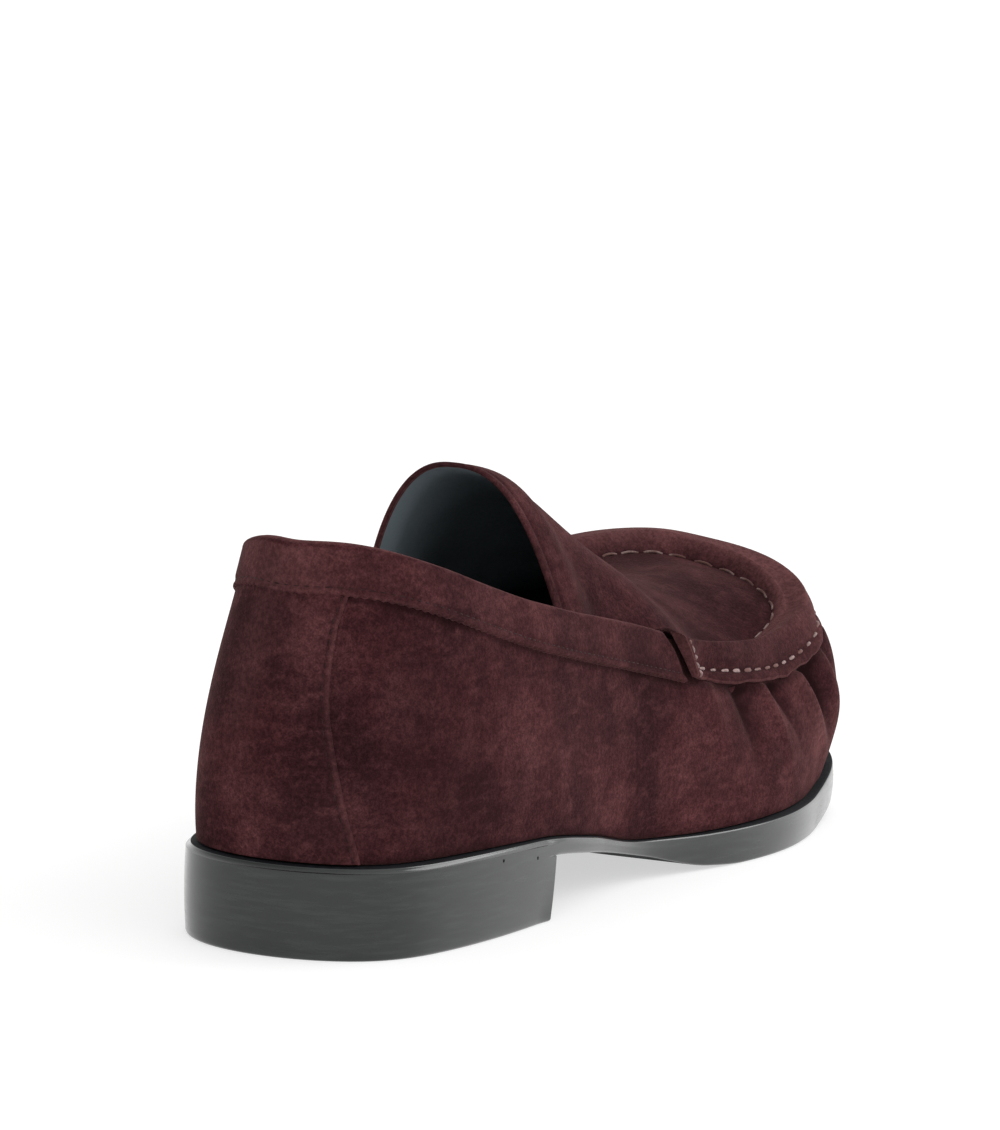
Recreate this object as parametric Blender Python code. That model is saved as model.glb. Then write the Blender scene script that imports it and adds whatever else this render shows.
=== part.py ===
# Suede loafer, right foot: outsole, heel, insole, hollow upper, collar band, back counter and apron strip.
# Built in millimetres on the last's own axes: x from heel back to toe, y to the medial side, z up.
# The meshes are in metres, and the finished shoe is centred over the origin with its sole on z = 0.
from collections import namedtuple
from math import acos, pi

import bmesh
import bpy
import numpy as np

MM = 0.001

# Driving sizes in millimetres.
LENGTH = 262.0
WALL = 2.0
GAP = 0.45
INSOLE_THICK = 3.0
INSOLE_CLEARANCE = 1.2
SOLE_EASE = 0.7
BREAST_X = 72.6
BREAST_SLANT = 1.0
HEEL_TAPER = 0.5
BAND_WIDTH = 9.5
BAND_THICK = 1.25
BAND_LINING = 0.6
BAND_LINING_TONGUE = 0.2
BAND_TURN_IN = 3.0
BAND_TURN_IN_TONGUE = 0.3
BAND_TURN_IN_REACH = 16.0
STRIP_WIDTH = 8.5
STRIP_THICK = 1.3
STRIP_PUFF = 1.2
STRIP_BORDER = 7.5
STRIP_BORDER_END = 4.0
STRIP_BEDDED = 1.6
STRIP_LIP = 2.0
STRIP_LIP_CLEARANCE = 1.8
STRIP_EDGE = 0.8
STRIP_END_X = 146.0
STRIP_FULL_X = 190.0
BAND_END_X = 145.0
COUNTER_THICK = 0.6
COUNTER_TOP_GAP = 0.5
COUNTER_FOOT = 0.01
THROAT_X = 100.0

# Numbers of sections, and the share of the way round that each blunt end of the sole starts at.
RING_STEPS = 36
WALL_ROWS = 10
PLUG_STEPS = 30
PLUG_COLUMNS = 11
SOLE_STEPS = 34
HEEL_STEPS = 17
LEG_ROWS = 6
COUNTER_COLUMNS = 18
COUNTER_ROWS = 9
SOLE_END = 0.012
INSOLE_END = 0.05

# Outline of the outsole, half widths to each side of the last's axis at station x.
Outline = namedtuple("Outline", "x lateral medial")
SOLE_OUTLINE = (
    Outline(0.0, 0.0, 0.0),
    Outline(9.0, 21.8, 22.0),
    Outline(30.0, 30.3, 30.6),
    Outline(69.0, 34.2, 31.0),
    Outline(95.0, 33.8, 29.0),
    Outline(125.0, 33.6, 30.5),
    Outline(155.0, 41.0, 37.5),
    Outline(185.0, 44.8, 43.5),
    Outline(215.0, 40.6, 43.0),
    Outline(238.0, 34.8, 36.0),
    Outline(253.0, 24.0, 26.0),
    Outline(262.0, -7.0, 7.0),
)

# Heights of the outsole along the shoe: its top, and the thickness below it.
SoleHeight = namedtuple("SoleHeight", "x top bottom")
SOLE_HEIGHTS = (
    SoleHeight(-5.0, 19.7, 15.9),
    SoleHeight(35.0, 19.3, 15.5),
    SoleHeight(69.0, 18.2, 14.4),
    SoleHeight(95.0, 15.0, 11.4),
    SoleHeight(125.0, 9.6, 6.0),
    SoleHeight(150.0, 8.3, 0.8),
    SoleHeight(163.0, 8.2, 0.0),
    SoleHeight(203.0, 8.2, 0.0),
    SoleHeight(232.0, 10.8, 2.6),
    SoleHeight(267.0, 17.2, 9.0),
)

# How far the upper stands in from the edge of the outsole at station x, on each side.
Welt = namedtuple("Welt", "x lateral medial")
WELT = (
    Welt(0.0, 3.9, 3.9),
    Welt(30.0, 3.0, 3.0),
    Welt(95.0, 1.2, 1.2),
    Welt(125.0, 0.8, 0.8),
    Welt(185.0, 2.2, 2.2),
    Welt(238.0, 2.0, 2.0),
    Welt(262.0, 2.4, 2.4),
)

# The rim that the wall rises to at each station: the top line at the back, the lip of the apron in front.
# low_out and high_out push the wall outwards at a third and two thirds of its height.
Rim = namedtuple("Rim", "x rim_x rim_y rim_z low_out high_out")
LATERAL_RIM = (
    Rim(0.0, 8.0, 0.0, 84.6, 6.2, 2.1),
    Rim(9.0, 12.5, -12.0, 84.3, 6.0, 2.0),
    Rim(30.0, 27.0, -21.5, 79.9, 4.8, 2.4),
    Rim(69.0, 66.0, -27.0, 68.4, 3.4, 2.8),
    Rim(95.0, 92.0, -28.5, 62.5, 3.6, 3.0),
    Rim(125.0, 122.0, -30.0, 56.3, 4.6, 3.4),
    Rim(155.0, 151.0, -31.0, 50.0, 5.0, 5.0),
    Rim(185.0, 182.0, -31.0, 45.8, 5.0, 7.0),
    Rim(215.0, 209.0, -29.0, 45.3, 5.2, 8.4),
    Rim(238.0, 230.5, -26.0, 49.6, 7.6, 9.2),
    Rim(253.0, 242.5, -14.5, 55.0, 6.6, 8.4),
    Rim(262.0, 247.5, 5.0, 58.6, 2.8, 7.6),
)
MEDIAL_RIM = (
    Rim(9.0, 13.0, 9.6, 84.3, 5.9, 1.7),
    Rim(30.0, 27.0, 19.2, 80.2, 4.7, 1.8),
    Rim(69.0, 66.0, 26.5, 69.5, 3.2, 2.8),
    Rim(95.0, 92.0, 28.5, 64.0, 3.4, 3.0),
    Rim(125.0, 122.0, 30.0, 59.5, 4.0, 3.4),
    Rim(155.0, 151.0, 31.5, 57.5, 4.6, 4.6),
    Rim(185.0, 182.0, 32.0, 57.0, 4.6, 6.0),
    Rim(215.0, 210.0, 30.0, 58.4, 4.4, 7.0),
    Rim(238.0, 231.0, 25.5, 59.8, 3.0, 7.4),
    Rim(253.0, 242.5, 17.0, 60.2, 2.8, 7.4),
)

# Sections of plug and tongue from the wall in to the crest at station x: how far the edge lies below the rim
# on each side, how far it stands in from the wall, the crest's place, and how the section rises to it.
ARCH_COLUMNS = "x lateral_drop medial_drop tuck crest_x crest_y crest_z fullness lateral_ease medial_ease"
Arch = namedtuple("Arch", ARCH_COLUMNS)
ARCHES = (
    Arch(100.0, 9.4, 9.4, 4.8, 96.5, 4.2, 92.2, 2.45, 1.1, 0.55),
    Arch(110.0, 10.4, 10.4, 4.3, 106.8, 4.5, 90.4, 2.4, 1.1, 0.58),
    Arch(125.0, 12.0, 12.0, 3.4, 122.5, 5.0, 85.0, 2.1, 1.4, 0.65),
    Arch(155.0, 11.0, 11.0, 1.2, 152.0, 6.0, 69.2, 2.2, 0.95, 1.0),
    Arch(185.0, 8.2, 7.2, 0.6, 180.0, 5.5, 58.5, 2.0, 1.6, 1.4),
    Arch(215.0, 6.2, 4.2, 0.5, 203.0, 5.0, 55.0, 2.0, 1.6, 1.6),
    Arch(238.0, 5.2, 2.6, 0.5, 214.0, 5.0, 54.8, 2.0, 1.6, 1.6),
    Arch(253.0, 5.0, 3.0, 0.5, 220.0, 5.0, 55.0, 2.0, 1.6, 1.6),
    Arch(262.0, 3.8, 3.8, 0.5, 222.0, 5.0, 55.2, 2.0, 1.6, 1.6),
)

# How far the roll of the apron strip swells over the rim by loop place, lateral places negative.
Roll = namedtuple("Roll", "place swell")
STRIP_ROLL = (
    Roll(-1.0, 1.2),
    Roll(-0.88, 1.1),
    Roll(-0.78, 0.3),
    Roll(-0.66, 0.1),
    Roll(-0.5, 0.2),
    Roll(0.5, 0.8),
    Roll(0.66, 1.2),
    Roll(1.0, 1.2),
)

# Front seams of the back counter: share of the way round from the back on each side, by share of its height.
Seam = namedtuple("Seam", "height lateral medial")
COUNTER_SEAM = (
    Seam(0.0, 0.100, 0.240),
    Seam(0.25, 0.080, 0.225),
    Seam(0.6, 0.066, 0.215),
    Seam(0.85, 0.078, 0.225),
    Seam(1.0, 0.100, 0.240),
)

# Colours of the finishes, as linear red, green and blue.
SUEDE = (0.060, 0.020, 0.022)
SUEDE_DARK = (0.050, 0.016, 0.018)
SOLE_BLACK = (0.012, 0.013, 0.013)
LINING = (0.012, 0.017, 0.020)
SUEDE_ROUGHNESS = 0.9
SOLE_ROUGHNESS = 0.35
LINING_ROUGHNESS = 0.6


def column(rows, name):
    """One named column of a table, as an array."""
    return np.array([getattr(row, name) for row in rows], float)


def steady(xs, ys):
    """A curve through (xs, ys) that never overshoots its rows."""
    xs = np.asarray(xs, float)
    ys = np.asarray(ys, float)
    step = np.diff(xs)
    slope = np.diff(ys) / step
    tangent = np.zeros_like(ys)
    for i in range(1, len(xs) - 1):
        before, after = slope[i - 1], slope[i]
        if before * after > 0.0:
            w1 = 2.0 * step[i] + step[i - 1]
            w2 = step[i] + 2.0 * step[i - 1]
            tangent[i] = (w1 + w2) / (w1 / before + w2 / after)
    tangent[0] = slope[0]
    tangent[-1] = slope[-1]

    def curve(x):
        x = np.clip(np.asarray(x, float), xs[0], xs[-1])
        i = np.clip(np.searchsorted(xs, x) - 1, 0, len(step) - 1)
        h = step[i]
        u = (x - xs[i]) / h
        a = (1.0 + 2.0 * u) * (1.0 - u) ** 2
        b = u * (1.0 - u) ** 2
        c = u * u * (3.0 - 2.0 * u)
        d = u * u * (u - 1.0)
        return a * ys[i] + b * h * tangent[i] + c * ys[i + 1] + d * h * tangent[i + 1]

    return curve


def loop_curve(knots, values):
    """A smooth closed curve through values at knots, where -1 and 1 are the same place."""
    knots = np.asarray(knots, float)
    values = np.asarray(values, float)
    count = len(knots)
    span = np.diff(np.append(knots, knots[0] + 2.0))
    rise = np.roll(values, -1) - values
    system = np.zeros((count, count))
    right = np.zeros(count)
    for i in range(count):
        before = span[i - 1]
        after = span[i]
        system[i, i - 1] += before
        system[i, i] += 2.0 * (before + after)
        system[i, (i + 1) % count] += after
        right[i] = 6.0 * (rise[i] / after - rise[i - 1] / before)
    bend = np.linalg.solve(system, right)

    def curve(t):
        t = (np.asarray(t, float) - knots[0]) % 2.0 + knots[0]
        i = np.clip(np.searchsorted(knots, t, side="right") - 1, 0, count - 1)
        j = (i + 1) % count
        h = span[i]
        a = (knots[i] + h - t) / h
        b = 1.0 - a
        return a * values[i] + b * values[j] + ((a ** 3 - a) * bend[i] + (b ** 3 - b) * bend[j]) * h * h / 6.0

    return curve


def share(x):
    """Share of the way from heel back to toe at station x, drawn close together at both ends."""
    return acos(1.0 - 2.0 * x / LENGTH) / pi


def loop_of(lateral, medial, name):
    """A closed curve of one column: lateral rows at negative shares, medial rows at positive ones."""
    rows = {}
    for row in lateral:
        rows[-share(row.x)] = getattr(row, name)
    for row in medial:
        rows[share(row.x)] = getattr(row, name)
    rows.pop(1.0, None)
    knots = sorted(rows)
    return loop_curve(knots, [rows[k] for k in knots])


def outline_rows(side, sign):
    """The outsole's outline on one side as rows of x and y."""
    point = namedtuple("Point", "x y")
    return [point(row.x, sign * getattr(row, side)) for row in SOLE_OUTLINE]


SOLE_Y = loop_of(outline_rows("lateral", -1.0), outline_rows("medial", 1.0)[:-1], "y")
SOLE_TOP = steady(column(SOLE_HEIGHTS, "x"), column(SOLE_HEIGHTS, "top"))
SOLE_BOTTOM = steady(column(SOLE_HEIGHTS, "x"), column(SOLE_HEIGHTS, "bottom"))
RIM = {name: loop_of(LATERAL_RIM, MEDIAL_RIM, name) for name in Rim._fields[1:]}
WELT_LATERAL = steady([share(row.x) for row in WELT], column(WELT, "lateral"))
WELT_MEDIAL = steady([share(row.x) for row in WELT], column(WELT, "medial"))
ARCH_SHARES = [share(row.x) for row in ARCHES]
ARCH = {name: steady(ARCH_SHARES, column(ARCHES, name)) for name in Arch._fields[1:]}
SEAM_LATERAL = steady(column(COUNTER_SEAM, "height"), column(COUNTER_SEAM, "lateral"))
SEAM_MEDIAL = steady(column(COUNTER_SEAM, "height"), column(COUNTER_SEAM, "medial"))


def sole_edge(t):
    """Plan of the outsole's edge at loop place t, from -1 at the toe round the heel at 0 to 1."""
    t = np.asarray(t, float)
    x = LENGTH * (1.0 - np.cos(pi * t)) / 2.0
    return np.stack((x, SOLE_Y(t)), -1)


def outward(t):
    """Level normal of the outsole's edge, pointing away from the shoe."""
    small = 1e-4
    along = sole_edge(np.asarray(t) + small) - sole_edge(np.asarray(t) - small)
    normal = np.stack((-along[..., 1], along[..., 0]), -1)
    return normal / np.linalg.norm(normal, axis=-1, keepdims=True)


def inset_edge(t, inset):
    """The outsole's edge moved inwards."""
    return sole_edge(t) - outward(t) * np.asarray(inset)[..., None]


def welt(t):
    """Width of sole that shows outside the upper."""
    turned = (np.asarray(t, float) + 1.0) % 2.0 - 1.0
    return np.where(turned < 0.0, WELT_LATERAL(-turned), WELT_MEDIAL(turned))


def wall_curve(t, v):
    """Outer face of the upper's wall at loop place t and share v of the way up to the rim."""
    t, v = np.broadcast_arrays(np.asarray(t, float), np.asarray(v, float))
    foot = inset_edge(t, welt(t))
    base = np.concatenate((foot, (SOLE_TOP(foot[..., 0]) + GAP)[..., None]), -1)
    rim = np.stack((RIM["rim_x"](t), RIM["rim_y"](t), RIM["rim_z"](t)), -1)
    push = np.concatenate((outward(t), np.zeros(t.shape + (1,))), -1)
    low = base + (rim - base) / 3.0 + push * RIM["low_out"](t)[..., None]
    high = base + (rim - base) * 2.0 / 3.0 + push * RIM["high_out"](t)[..., None]
    v = v[..., None]
    w = 1.0 - v
    return w ** 3 * base + 3.0 * w * w * v * low + 3.0 * w * v * v * high + v ** 3 * rim


def wall_normal(t, v):
    """Outward normal of the wall, level at its foot."""
    small = 1e-4
    t, v = np.broadcast_arrays(np.asarray(t, float), np.asarray(v, float))
    up = wall_curve(t, v + small) - wall_curve(t, v - small)
    along = wall_curve(t + small, v) - wall_curve(t - small, v)
    normal = np.cross(up, along)
    normal[..., 2] *= np.clip(v / 0.3, 0.0, 1.0)
    return normal / np.linalg.norm(normal, axis=-1, keepdims=True)


def wall_point(t, v, out):
    """A point off the wall's outer face by the distance out, negative towards the foot."""
    out = np.asarray(out, float)
    return wall_curve(t, v) + wall_normal(t, v) * out[..., None]


def wall_height(t):
    """Length of the wall from foot to rim at loop place t."""
    rows = wall_curve(np.asarray(t)[..., None], np.linspace(0.0, 1.0, 17))
    return np.linalg.norm(np.diff(rows, axis=-2), axis=-1).sum(-1)


def below_rim(t, distance):
    """Share of the wall's height that lies the given distance below the rim."""
    return 1.0 - distance / wall_height(t)


def by_side(t, name):
    """A value of the arch sections that differs between the lateral and the medial side."""
    folded = np.abs(t)
    return np.where(np.asarray(t) < 0.0, ARCH["lateral_" + name](folded), ARCH["medial_" + name](folded))


def arch_edge(t):
    """Edge of plug and tongue: in the middle of the wall, or tucked inside it near the throat."""
    return wall_point(t, below_rim(t, by_side(t, "drop")), -WALL / 2.0 - ARCH["tuck"](np.abs(t)))


def arch_point(t, w):
    """Middle of plug and tongue at loop place t, from the edge at w = 0 to the crest at w = 1."""
    t, w = np.broadcast_arrays(np.asarray(t, float), np.asarray(w, float))
    turned = (t + 1.0) % 2.0 - 1.0
    folded = np.abs(turned)
    edge = arch_edge(turned)
    crest = np.stack([ARCH[name](folded) for name in ("crest_x", "crest_y", "crest_z")], -1)
    lift = (1.0 - (1.0 - w) ** ARCH["fullness"](folded)) ** by_side(turned, "ease")
    point = edge + (crest - edge) * w[..., None]
    point[..., 2] = edge[..., 2] + (crest[..., 2] - edge[..., 2]) * lift
    return point


def arch_normal(t, w):
    """Upward normal of plug and tongue."""
    small = 1e-3
    t, w = np.broadcast_arrays(np.asarray(t, float), np.asarray(w, float))
    w = np.clip(w, 2.0 * small, 1.0 - 2.0 * small)
    inwards = arch_point(t, w + small) - arch_point(t, w - small)
    along = arch_point(t + small, w) - arch_point(t - small, w)
    normal = np.cross(inwards, along)
    normal *= np.sign(normal[..., 2:3])
    return normal / np.linalg.norm(normal, axis=-1, keepdims=True)


def arch_share(t, distance):
    """Share w of the way to the crest that lies the given level distance in from the edge."""
    span = arch_point(t, 1.0) - arch_point(t, 0.0)
    return distance / np.hypot(span[..., 0], span[..., 1])


def finish_material(name, colour, roughness):
    """One plain finish of its own for a piece."""
    material = bpy.data.materials.new(name)
    material.use_nodes = True
    shader = material.node_tree.nodes["Principled BSDF"]
    shader.inputs["Base Color"].default_value = (*colour, 1.0)
    shader.inputs["Roughness"].default_value = roughness
    shader.inputs["Metallic"].default_value = 0.0
    return material


def add_piece(name, points, faces, colour, roughness):
    """A named object from points in millimetres and its faces, with its own material."""
    mesh = bpy.data.meshes.new(name)
    mesh.from_pydata([tuple(float(c) * MM for c in p) for p in points], [], faces)
    work = bmesh.new()
    work.from_mesh(mesh)
    bmesh.ops.remove_doubles(work, verts=work.verts, dist=1e-6)
    bmesh.ops.dissolve_degenerate(work, edges=work.edges, dist=1e-7)
    bmesh.ops.recalc_face_normals(work, faces=work.faces)
    bmesh.ops.triangulate(work, faces=work.faces)
    work.to_mesh(mesh)
    work.free()
    mesh.shade_smooth()
    mesh.set_sharp_from_angle(angle=pi / 5.0)
    mesh.materials.append(finish_material(name + "_finish", colour, roughness))
    piece = bpy.data.objects.new(name, mesh)
    bpy.context.scene.collection.objects.link(piece)
    return piece


def tube_faces(rings, size, closed):
    """Quads between neighbouring rings of the same size, with end caps when the row of rings is open."""
    faces = []
    for i in range(rings if closed else rings - 1):
        j = (i + 1) % rings
        for k in range(size):
            m = (k + 1) % size
            faces.append((i * size + k, j * size + k, j * size + m, i * size + m))
    if not closed:
        faces.append(tuple(range(size)))
        faces.append(tuple((rings - 1) * size + k for k in range(size)))
    return faces


def loop_places(first, last, steps):
    """Places round the loop at the upper's own section lines between two limits, with the limits added."""
    lines = np.linspace(-1.0, 2.0, 3 * steps + 1)
    spacing = lines[1] - lines[0]
    inside = lines[(lines > first + 0.3 * spacing) & (lines < last - 0.3 * spacing)]
    return np.concatenate(([first], inside, [last]))


def build_outsole():
    """Sole board as cross sections from heel to toe, each a flat bar with eased corners."""
    shares = np.linspace(0.0, 1.0, SOLE_STEPS + 1)
    shares[0] = SOLE_END
    shares[-1] = 1.0 - SOLE_END
    points = []
    for s in shares:
        lateral = sole_edge(-s)
        medial = sole_edge(s)
        x = lateral[0]
        top = float(SOLE_TOP(x))
        bottom = float(SOLE_BOTTOM(x))
        inner = min(SOLE_EASE, (medial[1] - lateral[1]) / 4.0)
        section = (
            (lateral[1], bottom + SOLE_EASE), (lateral[1], top - SOLE_EASE), (lateral[1] + inner, top),
            (medial[1] - inner, top), (medial[1], top - SOLE_EASE), (medial[1], bottom + SOLE_EASE),
            (medial[1] - inner, bottom), (lateral[1] + inner, bottom),
        )
        points.extend((x, y, z) for y, z in section)
    faces = tube_faces(len(shares), len(section), False)
    return add_piece("outsole", points, faces, SOLE_BLACK, SOLE_ROUGHNESS)


def build_heel():
    """Heel block under the seat, drawn in a little towards the floor, with a slanted breast."""
    last = share(BREAST_X)
    shares = np.linspace(0.0, last, HEEL_STEPS)
    shares[0] = SOLE_END
    points = []
    for s in shares:
        along = s / last
        lateral = sole_edge(-s)
        medial = sole_edge(s)
        top = float(SOLE_BOTTOM(lateral[0])) - GAP
        draw_in = min(HEEL_TAPER, (medial[1] - lateral[1]) / 4.0)
        foot_x = lateral[0] + HEEL_TAPER * (1.0 - along) - (BREAST_SLANT + HEEL_TAPER) * along
        points.extend((
            (lateral[0], lateral[1], top), (lateral[0], medial[1], top),
            (foot_x, medial[1] - draw_in, 0.0), (foot_x, lateral[1] + draw_in, 0.0),
        ))
    return add_piece("heel", points, tube_faces(len(shares), 4, False), SOLE_BLACK, SOLE_ROUGHNESS)


def build_insole():
    """Board inside the upper, lying on the outsole."""
    shares = np.linspace(INSOLE_END, 1.0 - INSOLE_END, SOLE_STEPS)
    inset = WALL + INSOLE_CLEARANCE
    points = []
    for s in shares:
        lateral = inset_edge(-s, welt(-s) + inset)
        medial = inset_edge(s, welt(s) + inset)
        for x, y, lift in (
            (lateral[0], lateral[1], GAP), (lateral[0], lateral[1], GAP + INSOLE_THICK),
            (medial[0], medial[1], GAP + INSOLE_THICK), (medial[0], medial[1], GAP),
        ):
            points.append((x, y, float(SOLE_TOP(x)) + lift))
    return add_piece("insole", points, tube_faces(len(shares), 4, False), LINING, LINING_ROUGHNESS)


def wall_shell():
    """Ring wall of quarters and toe: outer face up, rim, inner face down."""
    places = np.linspace(-1.0, 1.0, 2 * RING_STEPS + 1)[:-1]
    rows = np.linspace(0.0, 1.0, WALL_ROWS)
    points = []
    for t in places:
        outer = wall_point(t, rows, np.zeros(WALL_ROWS))
        inner = wall_point(t, rows[::-1], np.full(WALL_ROWS, -WALL))
        points.extend(outer)
        points.extend(inner)
    return points, tube_faces(len(places), 2 * WALL_ROWS, True)


def arch_shell():
    """Plug and tongue as one sheet of section lines from the edge in to the crest, throat to throat."""
    throat = share(THROAT_X)
    places = loop_places(throat, 2.0 - throat, PLUG_STEPS)
    across = np.linspace(0.0, 1.0, PLUG_COLUMNS) ** 0.9
    middle = arch_point(places[:, None], across[None, :])
    normal = arch_normal(places[:, None], across[None, :])
    normal[:, -1] = (normal[:, -1] + normal[::-1, -1]) / 2.0
    count = len(places)
    top = (middle + normal * WALL / 2.0).reshape(-1, 3)
    under = (middle - normal * WALL / 2.0).reshape(-1, 3)
    shift = len(top)
    faces = []
    for i in range(count - 1):
        for k in range(PLUG_COLUMNS - 1):
            corner = i * PLUG_COLUMNS + k
            quad = (corner, corner + PLUG_COLUMNS, corner + PLUG_COLUMNS + 1, corner + 1)
            faces.append(quad)
            faces.append(tuple(shift + c for c in reversed(quad)))
        outer = i * PLUG_COLUMNS
        faces.append((outer, shift + outer, shift + outer + PLUG_COLUMNS, outer + PLUG_COLUMNS))
    for row in (0, count - 1):
        for k in range(PLUG_COLUMNS - 1):
            corner = row * PLUG_COLUMNS + k
            faces.append((corner, corner + 1, shift + corner + 1, shift + corner))
    return np.concatenate((top, under)), faces


def build_upper():
    """Wall and arch joined into one hollow shell, open at the collar and underneath."""
    wall_points, wall_faces = wall_shell()
    upper = add_piece("upper", wall_points, wall_faces, SUEDE, SUEDE_ROUGHNESS)
    arch_points, arch_faces = arch_shell()
    arch = add_piece("arch_former", arch_points, arch_faces, SUEDE, SUEDE_ROUGHNESS)
    arch.hide_render = True
    arch.display_type = "WIRE"
    join = upper.modifiers.new("join_arch", "BOOLEAN")
    join.operation = "UNION"
    join.solver = "EXACT"
    join.object = arch
    return upper


def outer_leg(t, width, thick, puff):
    """Outside of a folded strip on the wall from its lower edge to the rim, and the gap line behind it."""
    steps = np.linspace(1.0, 0.0, LEG_ROWS)
    rows = below_rim(t, width * steps)
    swell = puff * np.sqrt(np.sin(pi * (steps * 0.5 + 0.5)))
    return wall_point(t, rows, GAP + thick + swell), wall_point(t, rows, np.full(len(rows), GAP))


def rim_up(t):
    """Direction of the wall where it ends at the rim."""
    up = wall_curve(t, 1.0) - wall_curve(t, 0.999)
    return up / np.linalg.norm(up)


def build_collar_band():
    """Binding round the top line: outer leg, fold and a short inner leg, clear of the wall by the gap."""
    end = share(BAND_END_X)
    places = loop_places(-end, end, RING_STEPS)
    stations = (share(0.0), share(THROAT_X), share(THROAT_X + BAND_TURN_IN_REACH), share(LENGTH))
    turn_in = steady(stations, (BAND_TURN_IN, BAND_TURN_IN, BAND_TURN_IN_TONGUE, BAND_TURN_IN_TONGUE))
    lining = steady(stations, (BAND_LINING, BAND_LINING, BAND_LINING_TONGUE, BAND_LINING_TONGUE))
    points = []
    for t in places:
        up = rim_up(t)
        face, back = outer_leg(t, BAND_WIDTH, BAND_THICK, 0.0)
        inner_rows = below_rim(t, float(turn_in(abs(t))) * np.linspace(0.0, 1.0, 3))
        inside = np.full(len(inner_rows), -WALL - GAP)
        section = list(face)
        section.append(wall_point(t, 1.0, -WALL / 2.0) + up * (GAP + BAND_THICK))
        section.extend(wall_point(t, inner_rows, inside - float(lining(abs(t)))))
        section.extend(wall_point(t, inner_rows, inside)[::-1])
        section.append(wall_point(t, 1.0, -WALL - GAP) + up * GAP)
        section.append(wall_point(t, 1.0, GAP) + up * GAP)
        section.extend(back[::-1][1:])
        points.extend(section)
    faces = tube_faces(len(places), len(section), False)
    return add_piece("collar_band", points, faces, SUEDE_DARK, SUEDE_ROUGHNESS)


def build_apron_strip():
    """Raised strip over the lip of the apron, a U round the toe, with a border lying on the plug."""
    end = share(STRIP_END_X)
    places = loop_places(end, 2.0 - end, RING_STEPS)
    stations = (share(STRIP_END_X), share(STRIP_FULL_X), share(LENGTH))
    border = steady(stations, (STRIP_BORDER_END, STRIP_BORDER, STRIP_BORDER))
    roll = steady(column(STRIP_ROLL, "place"), column(STRIP_ROLL, "swell"))
    points = []
    for t in places:
        up = rim_up(t)
        turned = (t + 1.0) % 2.0 - 1.0
        swell = float(roll(turned))
        lip = min(STRIP_LIP, float(by_side(turned, "drop")) - STRIP_LIP_CLEARANCE)
        face, back = outer_leg(t, STRIP_WIDTH, STRIP_THICK, STRIP_PUFF)
        crest = wall_point(t, 1.0, -WALL / 2.0) + up * (GAP + STRIP_THICK + swell)
        near = float(arch_share(t, WALL / 2.0 + STRIP_BEDDED))
        far = float(arch_share(t, WALL / 2.0 + float(border(abs(turned)))))
        shares = np.linspace(far, near, 4)
        bed = arch_point(t, shares) + arch_normal(t, shares) * (WALL / 2.0 + GAP)
        edge_point = arch_point(t, far) + arch_normal(t, far) * (WALL / 2.0 + GAP + STRIP_EDGE)
        section = list(face)
        section.append(crest)
        for b in (0.25, 0.5, 0.75):
            lift = (swell + STRIP_THICK) * 0.5 * np.sin(pi * b)
            section.append(crest * (1.0 - b) + edge_point * b + np.array((0.0, 0.0, lift)))
        section.append(edge_point)
        section.extend(bed)
        section.append(wall_point(t, below_rim(t, lip), -WALL - GAP))
        section.append(wall_point(t, 1.0, -WALL - GAP) + up * GAP)
        section.append(wall_point(t, 1.0, GAP) + up * GAP)
        section.extend(back[::-1][1:])
        points.extend(section)
    faces = tube_faces(len(places), len(section), False)
    return add_piece("apron_strip", points, faces, SUEDE_DARK, SUEDE_ROUGHNESS)


def build_back_counter():
    """Panel over the back of the heel, between its two curved seams and below the collar band."""
    points = []
    for k in np.linspace(0.0, 1.0, COUNTER_ROWS):
        places = np.linspace(-float(SEAM_LATERAL(k)), float(SEAM_MEDIAL(k)), COUNTER_COLUMNS)
        v = COUNTER_FOOT + k * (below_rim(places, BAND_WIDTH + COUNTER_TOP_GAP) - COUNTER_FOOT)
        points.extend(wall_point(places, v, np.full(COUNTER_COLUMNS, GAP + COUNTER_THICK)))
        points.extend(wall_point(places, v, np.full(COUNTER_COLUMNS, GAP))[::-1])
    faces = tube_faces(COUNTER_ROWS, 2 * COUNTER_COLUMNS, False)
    return add_piece("back_counter", points, faces, SUEDE, SUEDE_ROUGHNESS)


def stand_over_origin(pieces):
    """Move every piece so that the shoe's box is centred over the origin and its sole is on z = 0."""
    corners = np.array([v.co for piece in pieces for v in piece.data.vertices])
    low = corners.min(0)
    high = corners.max(0)
    for piece in pieces:
        piece.location = (-(low[0] + high[0]) / 2.0, -(low[1] + high[1]) / 2.0, -low[2])


def main():
    for old in list(bpy.data.objects):
        bpy.data.objects.remove(old, do_unlink=True)
    build_outsole()
    build_heel()
    build_insole()
    build_upper()
    build_collar_band()
    build_apron_strip()
    build_back_counter()
    stand_over_origin([piece for piece in bpy.data.objects if piece.type == "MESH"])


main()
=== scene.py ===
# Suede loafer, right foot: the finished looks of its upper, bindings, seams, lining and sole.
# Shapes are worked out in millimetres on the last's own axes: x from heel back to toe, y to the medial side,
# z up from the floor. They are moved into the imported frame, in metres, when a mesh is made.
from collections import namedtuple
from math import acos, cos, pi, radians, sin

import bmesh
import bpy
import numpy as np
from mathutils import Matrix, Vector


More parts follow.
